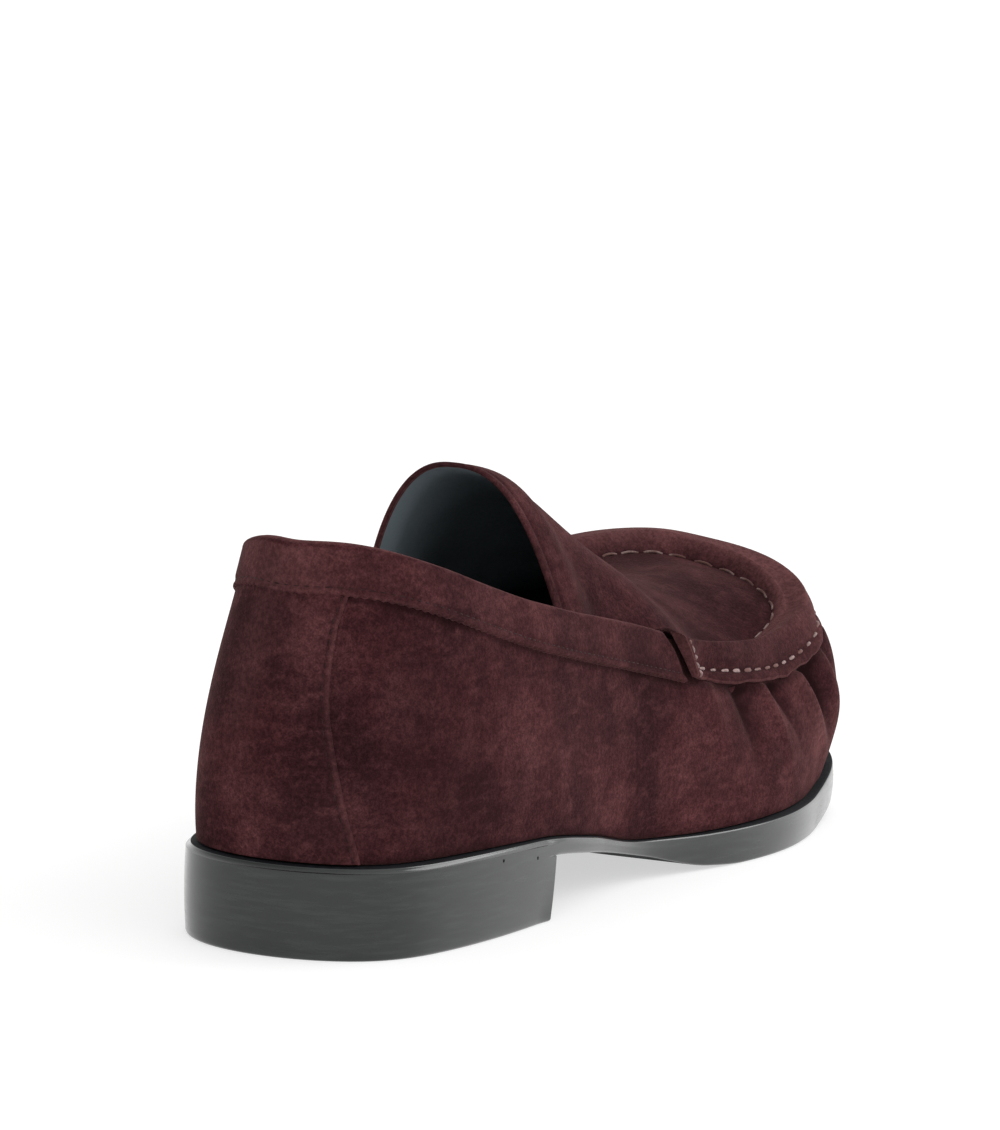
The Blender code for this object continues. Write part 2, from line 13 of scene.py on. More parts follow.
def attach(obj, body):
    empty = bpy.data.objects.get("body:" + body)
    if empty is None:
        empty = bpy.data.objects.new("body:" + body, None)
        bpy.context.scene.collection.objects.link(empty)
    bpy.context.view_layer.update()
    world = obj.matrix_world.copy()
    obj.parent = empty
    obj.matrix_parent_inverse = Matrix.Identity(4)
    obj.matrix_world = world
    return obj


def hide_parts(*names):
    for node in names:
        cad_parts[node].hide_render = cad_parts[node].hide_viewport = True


bl_info = {
    "name": "Suede loafer",
    "version": (1, 0, 0),
    "blender": (4, 5, 0),
    "location": "View3D > Sidebar > Loafer",
    "description": "Builds the finished surfaces of one suede loafer around its packed solids",
    "category": "Object",
}

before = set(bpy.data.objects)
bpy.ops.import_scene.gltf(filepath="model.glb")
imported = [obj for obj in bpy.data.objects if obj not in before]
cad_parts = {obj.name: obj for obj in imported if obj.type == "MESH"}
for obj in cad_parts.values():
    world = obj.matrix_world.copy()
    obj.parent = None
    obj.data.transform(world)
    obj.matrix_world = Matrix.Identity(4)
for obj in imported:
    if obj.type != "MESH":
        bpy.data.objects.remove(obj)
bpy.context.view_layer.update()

# A millimetre in metres, the outsole's length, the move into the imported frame, and the gap between pieces.
MM = 0.001
LENGTH = 262.0
SHIFT = np.array((-131.0, 0.2087, 0.0))
GAP = 0.45
BODY = "root"

# Numbers of sections and rows in the finished meshes, and of points along the seams.
RING_STEPS = 720
WALL_ROWS = 90
LINING_ROWS = 20
PLUG_STEPS = 130
PLUG_COLUMNS = 64
BAND_STEPS = 560
BAND_EDGE_ROWS = 5
BAND_FACE_ROWS = 30
BAND_FOLD_ROWS = 11
BAND_INSIDE_ROWS = 6
BAND_BACK_ROWS = 4
STRIP_STEPS = 460
STRIP_SPAN_ROWS = 6
COUNTER_COLUMNS = 120
COUNTER_ROWS = 90
SOLE_STEPS = 400
HEEL_STEPS = 301
INSOLE_STEPS = 300
APRON_SEAM_POINTS = 600
BAND_SEAM_POINTS = 900
COUNTER_SEAM_POINTS = 300

# Steps for slopes along the curves, and the rows of the wall where its height, its run and its rim are read.
SMALL = 1e-4
ARCH_SMALL = 1e-3
HEIGHT_SAMPLES = 17
RUN_ROW = 0.6
NEAR_RIM = 0.999

# Meshes: points closer than this are merged, faces thinner than this are removed, in metres; edges that turn
# more than this, in degrees, stay sharp; hidden faces keep this far off the wall, in millimetres.
MERGE_DISTANCE = 1e-6
THIN_DISTANCE = 1e-8
SHARP_TURN = 50.0
HIDDEN_CLEAR = 0.05

# Wall: share of its height over which its normal leaves the level, how far its foot is tucked in, what
# share of the gap it closes, how far it closes over the rim, and how its waves fade and drift with height.
FOOT_LEVEL = 0.3
FOOT_TUCK = 0.9
FOOT_SINK = 0.9
RIM_CLOSING = 0.3
WAVE_FADE = 0.25
WALL_DRIFT = 0.12
COUNTER_DRIFT = 0.1
TOP_WAVE_START = 0.17
TOP_WAVE_EASE = 0.12

# Gathers: how they start at the strip's lower edge, how sharp they are, and how their troughs are painted
# in shade and their ridges with a highlight.
PLEAT_LEAD = 1.2
PLEAT_RISE = 2.6
PLEAT_POWER = 1.6
PLEAT_SHADE = 0.55
PLEAT_RIDGE_HIGHLIGHT = 0.15
PLEAT_HIGHLIGHT_FROM = 0.4
PLEAT_HIGHLIGHT_SPAN = 1.6

# Plug and tongue: the throat's fold, groove and pared edge, the fold's rim paler with wear and painted
# sheen, how far painted light reaches into the lining and where the lining starts, the painted shade of
# the dished plug, and how sections crowd towards the throat and columns towards the crest.
THROAT_X = 100.0
THROAT_FOLD = 2.6
THROAT_GROOVE = 0.3
THROAT_GROOVE_REACH = 0.7
THROAT_GROOVE_SHADE = 0.5
THROAT_SKIVE = 10.0
THROAT_EDGE = 0.1
THROAT_TURNS = (30.0, 60.0, 90.0, 120.0, 150.0)
THROAT_WEAR_AND_SHEEN = 0.16
LINING_LIGHT_REACH = 17.0
LINING_FROM = 2
PLUG_SHADE = 0.25
DISH_SHADE = 0.21
DISH_START_X = 160.0
DISH_REACH = 25.0
PLUG_CROWDING = 1.35
PLUG_SPREAD = 0.9

# Binding: where it ends and is pared, its rounded edge, sewn channel, waves and scallops, its turn-in,
# its hidden faces, and its shades: painted shade in the channel and where it dips under the strip, and
# its edge and fold paler with wear and painted sheen.
BAND_END_X = 149.0
BAND_SKIVE = 3.6
BAND_SKIVE_LEAD = 0.4
BAND_PARED = 0.28
BAND_EDGE_ROUND = 0.7
BAND_BED = 0.3
BAND_SEAM_IN = 1.7
BAND_SEAM_SUNK = 0.36
BAND_CHANNEL = 0.32
BAND_CHANNEL_REACH = 0.7
BAND_CHANNEL_SHADE = 0.2
BAND_WAVE = 0.6
BAND_TOP_WAVE = 0.5
BAND_SCALLOP = 0.16
BAND_SCALLOP_POWER = 8
BAND_FOLD_TURN = 15.0
BAND_TURN_IN_REACH = 16.0
BAND_TURN_IN_SHORT = 0.6
BAND_INSIDE_THICK = 0.6
BAND_OVER_RIM = 0.32
BAND_BACK_TOP = 0.5
BAND_BACK_FOOT = 0.3
BAND_DIP = 1.7
BAND_DIP_SHADE = 0.95
BAND_WEAR = 0.05
BAND_EDGE_WEAR_AND_SHEEN = 0.18
BAND_FOLD_WEAR_AND_SHEEN = 0.26
BAND_FOLD_MARGIN = 2

# Apron strip: where it ends, how it is bedded on plug and wall, and its shades by row and loop place: a
# paler raw lower edge, painted light on the toe's border, painted shade at the seam and the inner edge,
# and rear ends paler in their raw colour and in painted light.
STRIP_END_X = 145.2
STRIP_FULL_X = 190.0
STRIP_RAGGED_ROWS = 3
STRIP_SEAT = 0.15
STRIP_SUNK = 0.3
STRIP_BEDDED = 1.6
STRIP_BED_CLEAR = 0.1
STRIP_OVER_RIM = 0.35
STRIP_UNDER = 4.0
STRIP_EDGE_WEAR = 0.30
STRIP_TOE_LIGHT = 0.52
STRIP_TOE_PLACE = 0.6
STRIP_TOE_EASE = 0.25
STRIP_TOE_ROW = 6.0
STRIP_TOE_ROWS = 18.0
STRIP_RAW_REACH = 0.9
STRIP_RAW_PALE_AND_LIGHT = 0.5
STRIP_SEAM_SHADE = 0.5
STRIP_SEAM_ROWS = 3.0
STRIP_INNER_SHADE = 0.5
STRIP_INNER_ROWS = 4.0

# Back counter: how far it goes up under the binding, its pared edge, sewn channel with painted shade, and
# its edge paler with wear and a painted highlight.
COUNTER_UNDER_BAND = 1.0
COUNTER_EDGE_ROUND = 1.1
COUNTER_SEAM_IN = 1.5
COUNTER_CHANNEL = 0.28
COUNTER_CHANNEL_REACH = 0.6
COUNTER_CHANNEL_SHADE = 0.9
COUNTER_EDGE_WEAR_AND_LIGHT = 0.15
COUNTER_EDGE_LIGHT_IN = 0.5
COUNTER_EDGE_LIGHT_REACH = 0.7

# Sole and heel: the heel's breast, how the edge swells and draws in, and where the flat top and bottom start.
BREAST_X = 72.6
BREAST_SLANT = 1.0
BREAST_FADE = 4.0
HEEL_SWELL = 0.85
HEEL_FULLEST = 0.25
HEEL_FADE = 12.0
HEEL_EASE = 0.5
HEEL_EASE_LEVEL = 0.985
HEEL_EASE_SHARE = 0.3
HEEL_DEEP = 14.0
HEEL_DEEP_FADE = 0.08
HEEL_LEVELS = np.linspace(0.0, 0.96, 14)
SOLE_SHARE = 0.2
SOLE_DEEP = 16.0
SOLE_CORNER = np.linspace(0.0, pi / 2.0, 5)
SOLE_LEVELS = np.linspace(0.15, 0.85, 7)
SOLE_SWELL = 0.25
SOLE_SWELL_REACH = 20.0
SOLE_DULL_ROWS = 3

# Nails in the sole's edge: the head's rings by share of its radius and height off the edge, and each
# nail's station and depth below the sole's top.
NAIL_RADIUS = 0.38
NAIL_SIDES = 10
NAIL_PROUD = 0.03
NAIL_RINGS = ((1.0, -0.5), (1.0, 0.0), (0.6, NAIL_PROUD))
NAILS = ((47.2, 2.3), (62.9, 3.4))

# Insole: clearance and thickness, and its rounded edge as inset and share of the thickness.
INSOLE_CLEARANCE = 1.2
INSOLE_THICK = 3.0
INSOLE_EDGE = ((14.0, 1.0), (2.0, 1.0), (0.8, 0.94), (0.2, 0.80), (0.0, 0.5), (0.0, 0.0), (14.0, 0.0))

# Seams: where the apron's seams and tacks start from the strip's end, how high the thread lies, how deep a
# stitch's ends are sunk as a share of its radius, its sides and steps, and where the counter is sewn.
SEAM_START = 9.0
TACK_IN = 2.2
OUTER_SEAM_LIFT = 0.05
INNER_SEAM_LIFT = 0.3
BAND_SEAM_END = 1.0
STITCH_SUNK = -0.9
STITCH_SIDES = 6
COUNTER_SEWN = (0.02, 0.97)

# Outline of the outsole, half widths to each side of the last's axis at station x.
Outline = namedtuple("Outline", "x lateral medial")
SOLE_OUTLINE = (
    Outline(0.0, 0.0, 0.0),
    Outline(9.0, 21.8, 22.0),
    Outline(30.0, 30.3, 30.6),
    Outline(69.0, 34.2, 31.0),
    Outline(95.0, 33.8, 29.0),
    Outline(125.0, 33.6, 30.5),
    Outline(155.0, 41.0, 37.5),
    Outline(185.0, 44.8, 43.5),
    Outline(215.0, 40.6, 43.0),
    Outline(238.0, 34.8, 36.0),
    Outline(253.0, 24.0, 26.0),
    Outline(262.0, -7.0, 7.0),
)

# Heights of the outsole's top and bottom along the shoe.
SoleHeight = namedtuple("SoleHeight", "x top bottom")
SOLE_HEIGHTS = (
    SoleHeight(-5.0, 19.7, 15.9),
    SoleHeight(35.0, 19.3, 15.5),
    SoleHeight(69.0, 18.2, 14.4),
    SoleHeight(95.0, 15.0, 11.4),
    SoleHeight(125.0, 9.6, 6.0),
    SoleHeight(150.0, 8.3, 0.8),
    SoleHeight(163.0, 8.2, 0.0),
    SoleHeight(203.0, 8.2, 0.0),
    SoleHeight(232.0, 10.8, 2.6),
    SoleHeight(267.0, 17.2, 9.0),
)

# How far the upper stands in from the edge of the outsole at station x.
Welt = namedtuple("Welt", "x width")
WELT = (
    Welt(0.0, 3.9),
    Welt(30.0, 3.0),
    Welt(95.0, 1.2),
    Welt(125.0, 0.8),
    Welt(185.0, 2.2),
    Welt(238.0, 2.0),
    Welt(262.0, 2.4),
)

# The rim that the wall rises to at each station: the top line at the back, the lip of the apron in front.
# low_out and high_out push the wall outwards at a third and two thirds of its height.
Rim = namedtuple("Rim", "x rim_x rim_y rim_z low_out high_out")
LATERAL_RIM = (
    Rim(0.0, 8.0, 0.0, 84.6, 6.2, 2.1),
    Rim(9.0, 12.5, -12.0, 84.3, 6.0, 2.0),
    Rim(30.0, 27.0, -21.5, 79.9, 4.8, 2.4),
    Rim(69.0, 66.0, -27.0, 68.4, 3.4, 2.8),
    Rim(95.0, 92.0, -28.5, 62.5, 3.6, 3.0),
    Rim(125.0, 122.0, -30.0, 56.3, 4.6, 3.4),
    Rim(155.0, 151.0, -31.0, 50.0, 5.0, 5.0),
    Rim(185.0, 182.0, -31.0, 45.8, 5.0, 7.0),
    Rim(215.0, 209.0, -29.0, 45.3, 5.2, 8.4),
    Rim(238.0, 230.5, -26.0, 49.6, 7.6, 9.2),
    Rim(253.0, 242.5, -14.5, 55.0, 6.6, 8.4),
    Rim(262.0, 247.5, 5.0, 58.6, 2.8, 7.6),
)
MEDIAL_RIM = (
    Rim(9.0, 13.0, 9.6, 84.3, 5.9, 1.7),
    Rim(30.0, 27.0, 19.2, 80.2, 4.7, 1.8),
    Rim(69.0, 66.0, 26.5, 69.5, 3.2, 2.8),
    Rim(95.0, 92.0, 28.5, 64.0, 3.4, 3.0),
    Rim(125.0, 122.0, 30.0, 59.5, 4.0, 3.4),
    Rim(155.0, 151.0, 31.5, 57.5, 4.6, 4.6),
    Rim(185.0, 182.0, 32.0, 57.0, 4.6, 6.0),
    Rim(215.0, 210.0, 30.0, 58.4, 4.4, 7.0),
    Rim(238.0, 231.0, 25.5, 59.8, 3.0, 7.4),
    Rim(253.0, 242.5, 17.0, 60.2, 2.8, 7.4),
)

# Sections of plug and tongue from the wall in to the crest at station x: how far the edge lies below the rim
# on each side, how far it stands in from the wall, the crest's place, and how the section rises to it.
ARCH_COLUMNS = "x lateral_drop medial_drop tuck crest_x crest_y crest_z fullness lateral_ease medial_ease"
Arch = namedtuple("Arch", ARCH_COLUMNS)
ARCHES = (
    Arch(100.0, 9.4, 9.4, 4.8, 96.5, 4.2, 92.2, 2.45, 1.1, 0.55),
    Arch(110.0, 10.4, 10.4, 4.3, 106.8, 4.5, 90.4, 2.4, 1.1, 0.58),
    Arch(125.0, 12.0, 12.0, 3.4, 122.5, 5.0, 85.0, 2.1, 1.4, 0.65),
    Arch(155.0, 11.0, 11.0, 1.2, 152.0, 6.0, 69.2, 2.2, 0.95, 1.0),
    Arch(185.0, 8.2, 7.2, 0.6, 180.0, 5.5, 58.5, 2.0, 1.6, 1.4),
    Arch(215.0, 6.2, 4.2, 0.5, 203.0, 5.0, 55.0, 2.0, 1.6, 1.6),
    Arch(238.0, 5.2, 2.6, 0.5, 214.0, 5.0, 54.8, 2.0, 1.6, 1.6),
    Arch(253.0, 5.0, 3.0, 0.5, 220.0, 5.0, 55.0, 2.0, 1.6, 1.6),
    Arch(262.0, 3.8, 3.8, 0.5, 222.0, 5.0, 55.2, 2.0, 1.6, 1.6),
)

# Front seams of the back counter: share of the way round from the back on each side, by share of its height.
Seam = namedtuple("Seam", "height lateral medial")
COUNTER_SEAM = (
    Seam(0.0, 0.100, 0.240),
    Seam(0.25, 0.080, 0.225),
    Seam(0.6, 0.066, 0.215),
    Seam(0.85, 0.078, 0.225),
    Seam(1.0, 0.100, 0.240),
)

# Gathers below the apron strip: loop place where each leaves the strip, how its place drifts per millimetre
# of descent, how far down it reaches, its half width and its height; a negative height is a trough.
Pleat = namedtuple("Pleat", "place slant reach width height")
PLEATS = (
    Pleat(-0.530, -0.0002, 20.0, 4.5, -0.4),
    Pleat(-0.560, -0.0006, 28.0, 4.0, 1.0),
    Pleat(-0.600, -0.0002, 30.0, 4.6, -1.9),
    Pleat(-0.631, -0.0010, 27.0, 3.0, 1.6),
    Pleat(-0.655, -0.0014, 23.0, 3.4, -1.8),
    Pleat(-0.700, -0.0017, 37.0, 4.0, 2.4),
    Pleat(-0.730, -0.0017, 34.0, 4.2, -2.4),
    Pleat(-0.766, -0.0014, 28.0, 4.2, 1.4),
    Pleat(-0.794, -0.0010, 22.0, 3.4, -1.2),
    Pleat(-0.826, -0.0006, 22.0, 3.8, 1.1),
    Pleat(-0.854, -0.0004, 18.0, 3.2, -1.0),
    Pleat(-0.886, -0.0003, 20.0, 3.6, 1.0),
    Pleat(-0.915, 0.0000, 16.0, 3.0, -0.9),
    Pleat(-0.945, 0.0000, 19.0, 3.4, 1.0),
    Pleat(-0.974, 0.0000, 15.0, 3.0, -0.9),
    Pleat(0.996, 0.0000, 19.0, 3.4, 1.0),
    Pleat(0.967, 0.0000, 15.0, 3.0, -0.9),
    Pleat(0.937, 0.0002, 20.0, 3.6, 1.1),
    Pleat(0.906, 0.0003, 17.0, 3.2, -1.0),
    Pleat(0.873, 0.0005, 21.0, 3.8, 1.1),
    Pleat(0.841, 0.0007, 19.0, 3.4, -1.1),
    Pleat(0.807, 0.0009, 25.0, 4.0, 1.4),
    Pleat(0.773, 0.0011, 23.0, 3.8, -1.4),
    Pleat(0.737, 0.0013, 29.0, 4.4, 1.7),
    Pleat(0.701, 0.0012, 25.0, 4.0, -1.5),
    Pleat(0.663, 0.0010, 26.0, 4.2, 1.3),
    Pleat(0.629, 0.0007, 24.0, 4.0, -1.1),
    Pleat(0.590, 0.0004, 24.0, 4.4, 0.8),
)

# Waves of the wall and of the top line, as waves per half turn, phase and height.
Wave = namedtuple("Wave", "count phase height")
WALL_WAVES = (
    Wave(5.0, 0.4, 0.22),
    Wave(9.0, 1.7, 0.16),
    Wave(14.0, 3.1, 0.10),
)
TOP_WAVES = (
    Wave(8.0, 0.9, 0.16),
    Wave(17.0, 2.3, 0.12),
    Wave(31.0, 0.2, 0.07),
)

# Darker patches on the wall, partly nap brushed the other way and partly painted shade: loop place, share
# of height, how far the patch reaches along the loop and up the wall, and how strong it is.
Patch = namedtuple("Patch", "place height along up depth")
NAP_AND_SHADE_PATCHES = (
    Patch(-0.165, 0.52, 0.080, 0.42, 0.52),
    Patch(-0.225, 0.22, 0.070, 0.24, 0.44),
    Patch(0.020, 0.48, 0.040, 0.22, 0.28),
    Patch(-0.290, 0.62, 0.050, 0.20, 0.18),
    Patch(-0.470, 0.55, 0.060, 0.26, 0.20),
    Patch(-0.585, 0.62, 0.050, 0.14, 0.26),
    Patch(-0.741, 0.62, 0.019, 0.24, 0.50),
    Patch(0.230, 0.45, 0.080, 0.35, 0.40),
    Patch(0.420, 0.35, 0.080, 0.25, 0.30),
)
# Lighter patches, partly nap brushed up and partly painted sheen and light.
NAP_AND_LIGHT_PATCHES = (
    Patch(0.060, 0.66, 0.030, 0.34, 0.22),
    Patch(0.000, 0.80, 0.050, 0.14, 0.10),
    Patch(-0.060, 0.10, 0.060, 0.14, 0.08),
    Patch(-0.370, 0.42, 0.050, 0.26, 0.08),
    Patch(-0.560, 0.28, 0.060, 0.16, 0.08),
    Patch(-0.690, 0.52, 0.014, 0.20, 0.16),
    Patch(-0.721, 0.33, 0.015, 0.19, 0.66),
    Patch(0.310, 0.60, 0.060, 0.24, 0.10),
    Patch(0.700, 0.40, 0.050, 0.20, 0.10),
)

# Stretches of painted shade and painted light along the binding and the apron strip.
Stretch = namedtuple("Stretch", "place along depth")
BAND_PAINTED_SHADE = (Stretch(-0.46, 0.09, 0.36), Stretch(0.30, 0.10, 0.20))
BAND_PAINTED_LIGHT = (Stretch(0.04, 0.10, 0.30),)
STRIP_PAINTED_SHADE = (Stretch(-0.61, 0.10, 0.46), Stretch(0.62, 0.10, 0.20))
STRIP_PAINTED_LIGHT = (Stretch(-0.81, 0.07, 0.20),)
# Darker and lighter stretches down the tongue, by distance from the throat in millimetres; a negative
# depth is lighter.
TONGUE_TONE = (Stretch(23.0, 11.0, 0.22), Stretch(57.0, 13.0, -0.15))

# Painted shadow along a lower edge: how far past the edge, how wide and how dark; and the length over which
# the binding's line changes into the strip's.
EdgeShadow = namedtuple("EdgeShadow", "past reach depth")
BAND_EDGE_SHADOW = EdgeShadow(0.5, 0.8, 0.55)
STRIP_EDGE_SHADOW = EdgeShadow(0.8, 1.3, 0.85)
SOLE_EDGE_SHADOW = EdgeShadow(0.0, 1.6, 0.5)
EDGE_SHADOW_CHANGE = 6.0

# Share of red, green and blue that is left in soiled thread.
THREAD_SOIL = (0.46, 0.34, 0.32)

# Face of the apron strip on the wall: distance below the rim, and height off the wall along its length
# and at its rear ends, where it is one even roll.
StripPoint = namedtuple("StripPoint", "below out end_out")
STRIP_FACE = (
    StripPoint(8.5, 0.10, 0.10),
    StripPoint(8.6, 0.80, 1.20),
    StripPoint(7.9, 1.35, 1.90),
    StripPoint(6.9, 1.30, 2.15),
    StripPoint(6.0, 1.00, 2.20),
    StripPoint(5.0, 1.45, 2.30),
    StripPoint(3.4, 2.35, 2.50),
    StripPoint(1.6, 2.80, 2.70),
    StripPoint(0.2, 2.75, 2.60),
)
# The point of the face that the outer seam is sewn on, the points that the tacks cross, counted from the rim
# down, and how the rear ends of the strip roll and lift.
STRIP_SEAM = 4
STRIP_SEAM_BELOW = STRIP_FACE[STRIP_SEAM].below
TACK_ROWS = slice(1, -2)
STRIP_END_ROLL = 4.0
STRIP_END_LIFT = 1.8
STRIP_END_REACH = 6.0

# How the strip's rear ends lean: distance below the rim, and how far forward of its middle the end is cut.
Lean = namedtuple("Lean", "below forward")
END_LEAN = (
    Lean(0.0, -4.2),
    Lean(2.0, -1.9),
    Lean(4.5, -0.6),
    Lean(7.0, -0.1),
    Lean(9.0, 1.4),
)
LEAN_REACH = 18.0

# Height of the strip's roll over the rim by loop place, lateral places negative.
Crest = namedtuple("Crest", "place height")
STRIP_CREST = (
    Crest(-1.0, 2.85),
    Crest(-0.88, 2.7),
    Crest(-0.78, 0.9),
    Crest(-0.66, 0.6),
    Crest(-0.5, 0.8),
    Crest(0.5, 2.2),
    Crest(0.66, 2.85),
    Crest(1.0, 2.85),
)
FULL_CREST = 2.85

# Unevenness of the strip's raw lower edge.
EDGE_WAVES = (
    Wave(23.0, 0.3, 0.14),
    Wave(41.0, 1.9, 0.12),
    Wave(73.0, 0.8, 0.09),
)

# Border of the apron from the crest in to the inner seam: share of the way, and height above a straight
# line.
BorderPoint = namedtuple("BorderPoint", "along lift")
BORDER = (
    BorderPoint(0.22, 0.95),
    BorderPoint(0.45, 1.40),
    BorderPoint(0.68, 1.25),
    BorderPoint(0.86, 0.65),
    BorderPoint(1.0, 0.0),
)

# The photograph's view, in degrees and millimetres on the last's axes.
VIEW_TURN = 23.111
VIEW_DOWN = 8.037
VIEW_ROLL = 2.5
VIEW_AIM = (115.093, 0.0, 68.919)
VIEW_DISTANCE = 1554.88
VIEW_LENS = 225.2
SENSOR = 36.0

# Direction towards the brighter side of the studio, and how far along it the light is dimmest and full.
BRIGHT_SIDE = (0.80, -0.55, 0.24)
DIM_SIDE = -1.0
FULL_SIDE = 0.5

# Lamps by place, aim and size, and half the floor's width, in metres.
Lamp = namedtuple("Lamp", "place aim size")
KEY_LAMP = Lamp((0.85, -0.85, 0.75), (0.03, 0.0, 0.03), 0.8)
FILL_LAMP = Lamp((-1.1, -0.4, 0.42), (0.0, 0.0, 0.06), 0.5)
FLOOR_REACH = 6.0


def length_prop(name, description, millimetres):
    """A size that the user may change, given here in millimetres."""
    return bpy.props.FloatProperty(
        name=name, description=description, default=millimetres * MM, unit="LENGTH", precision=5
    )


def colour_prop(name, description, colour):
    """A linear colour that the user may change."""
    return bpy.props.FloatVectorProperty(
        name=name, description=description, default=colour, subtype="COLOR", size=3, min=0.0, max=1.0
    )


def number_prop(name, description, default):
    """A plain number that the user may change."""
    return bpy.props.FloatProperty(name=name, description=description, default=default)


class LoaferSizes(bpy.types.PropertyGroup):
    """Sizes of the leather pieces and the seams."""

    wall: length_prop("Wall", "Thickness of the upper's wall with its lining", 2.0)
    band_width: length_prop("Band width", "Width of the binding round the top line", 9.5)
    band_thick: length_prop("Band thickness", "Thickness of the binding", 1.25)
    band_turn_in: length_prop("Band turn-in", "How far the binding turns down inside", 3.0)
    border: length_prop("Border", "Width of the apron's raised border on the plug", 7.5)
    border_end: length_prop("Border end", "Width of the border at its two rear ends", 4.0)
    counter_thick: length_prop("Counter thickness", "Thickness of the back counter's panel", 0.6)
    sole_ease: length_prop("Sole ease", "Rounding of the sole's edges", 0.7)
    seam_pitch: length_prop("Apron pitch", "Distance between stitches of the apron's seams", 6.4)
    seam_stitch: length_prop("Inner stitch", "Length of one stitch of the apron's inner seam", 4.5)
    seam_dot: length_prop("Outer stitch", "Length of one stitch of the apron's outer seam", 2.7)
    outer_thread: length_prop("Outer thread", "Radius of the thread of the apron's outer seam", 0.42)
    inner_thread: length_prop("Inner thread", "Radius of the thread of the inner seam and the tacks", 0.33)
    tack_pitch: length_prop("Tack pitch", "Distance between the stitches across the strip's ends", 1.7)
    tack_stitch: length_prop("Tack stitch", "Length of one stitch across the strip's ends", 1.2)
    fine_pitch: length_prop("Fine pitch", "Distance between stitches of binding and counter", 2.3)
    fine_stitch: length_prop("Fine stitch", "Length of one stitch of binding and counter", 1.5)
    fine_thread: length_prop("Fine thread", "Radius of the thread of binding and counter", 0.14)


class LoaferFinish(bpy.types.PropertyGroup):
    """Colours of the leathers, the thread and the sole."""

    suede_dark: colour_prop("Suede dark", "Suede where its nap lies away", (0.0270, 0.0091, 0.0106))
    suede_mid: colour_prop("Suede", "Main colour of the suede", (0.0510, 0.0158, 0.0177))
    suede_light: colour_prop("Suede light", "Suede where its nap is brushed up", (0.0890, 0.0318, 0.0340))
    # Also the colour that paler wear and painted light and sheen are mixed towards.
    raw_edge_and_light: colour_prop("Raw edge", "Cut edge of the suede", (0.1700, 0.0700, 0.0710))
    lining: colour_prop("Lining", "Smooth leather inside", (0.1080, 0.1290, 0.1420))
    sole: colour_prop("Sole edge", "Dyed and waxed edge of sole and heel", (0.0100, 0.0115, 0.0112))
    sole_top: colour_prop("Sole top", "Dull top of the sole round the upper", (0.0040, 0.0045, 0.0060))
    thread: colour_prop("Apron thread", "Light thread of the outer seam and tacks", (0.3400, 0.2350, 0.2250))
    thread_dull: colour_prop("Dull thread", "Thread of the apron's inner seam", (0.2400, 0.1560, 0.1430))
    thread_fine: colour_prop("Fine thread", "Thread of binding and counter", (0.0380, 0.0135, 0.0140))


class LoaferStage(bpy.types.PropertyGroup):
    """Floor and light."""

    floor: colour_prop("Floor", "Colour of the floor", (0.46, 0.46, 0.46))
    glow: number_prop("Glow", "Light that the floor gives itself", 0.58)
    sky: number_prop("Sky", "Strength of the white light", 1.2)
    shade: number_prop("Shade", "Share of the light behind the heel", 0.32)
    key: number_prop("Key", "Power of the main soft light in watts", 6.2)
    fill: number_prop("Fill", "Power of the light behind the heel in watts", 2.4)


def mm(size):
    """A length property in millimetres."""
    return size / MM


def column(rows, name):
    """One named column of a table, as an array."""
    return np.array([getattr(row, name) for row in rows], float)


def steady(xs, ys):
    """A curve through (xs, ys) that never overshoots its rows."""
    xs = np.asarray(xs, float)
    ys = np.asarray(ys, float)
    step = np.diff(xs)
    slope = np.diff(ys) / step
    tangent = np.zeros_like(ys)
    for i in range(1, len(xs) - 1):
        before, after = slope[i - 1], slope[i]
        if before * after > 0.0:
            w1 = 2.0 * step[i] + step[i - 1]
            w2 = step[i] + 2.0 * step[i - 1]
            tangent[i] = (w1 + w2) / (w1 / before + w2 / after)
    tangent[0] = slope[0]
    tangent[-1] = slope[-1]

    def curve(x):
        x = np.clip(np.asarray(x, float), xs[0], xs[-1])
        i = np.clip(np.searchsorted(xs, x) - 1, 0, len(step) - 1)
        h = step[i]
        u = (x - xs[i]) / h
        a = (1.0 + 2.0 * u) * (1.0 - u) ** 2
        b = u * (1.0 - u) ** 2
        c = u * u * (3.0 - 2.0 * u)
        d = u * u * (u - 1.0)
        return a * ys[i] + b * h * tangent[i] + c * ys[i + 1] + d * h * tangent[i + 1]

    return curve


def loop_curve(knots, values):
    """A smooth closed curve through values at knots, where -1 and 1 are the same place."""
    knots = np.asarray(knots, float)
    values = np.asarray(values, float)
    count = len(knots)
    span = np.diff(np.append(knots, knots[0] + 2.0))
    rise = np.roll(values, -1) - values
    system = np.zeros((count, count))
    right = np.zeros(count)
    for i in range(count):
        before = span[i - 1]
        after = span[i]
        system[i, i - 1] += before
        system[i, i] += 2.0 * (before + after)
        system[i, (i + 1) % count] += after
        right[i] = 6.0 * (rise[i] / after - rise[i - 1] / before)
    bend = np.linalg.solve(system, right)

    def curve(t):
        t = (np.asarray(t, float) - knots[0]) % 2.0 + knots[0]
        i = np.clip(np.searchsorted(knots, t, side="right") - 1, 0, count - 1)
        j = (i + 1) % count
        h = span[i]
        a = (knots[i] + h - t) / h
        b = 1.0 - a
        sag = ((a ** 3 - a) * bend[i] + (b ** 3 - b) * bend[j]) * h * h / 6.0
        return a * values[i] + b * values[j] + sag

    return curve


def share(x):
    """Share of the way from heel back to toe at station x, drawn close together at both ends."""
    return acos(1.0 - 2.0 * x / LENGTH) / pi


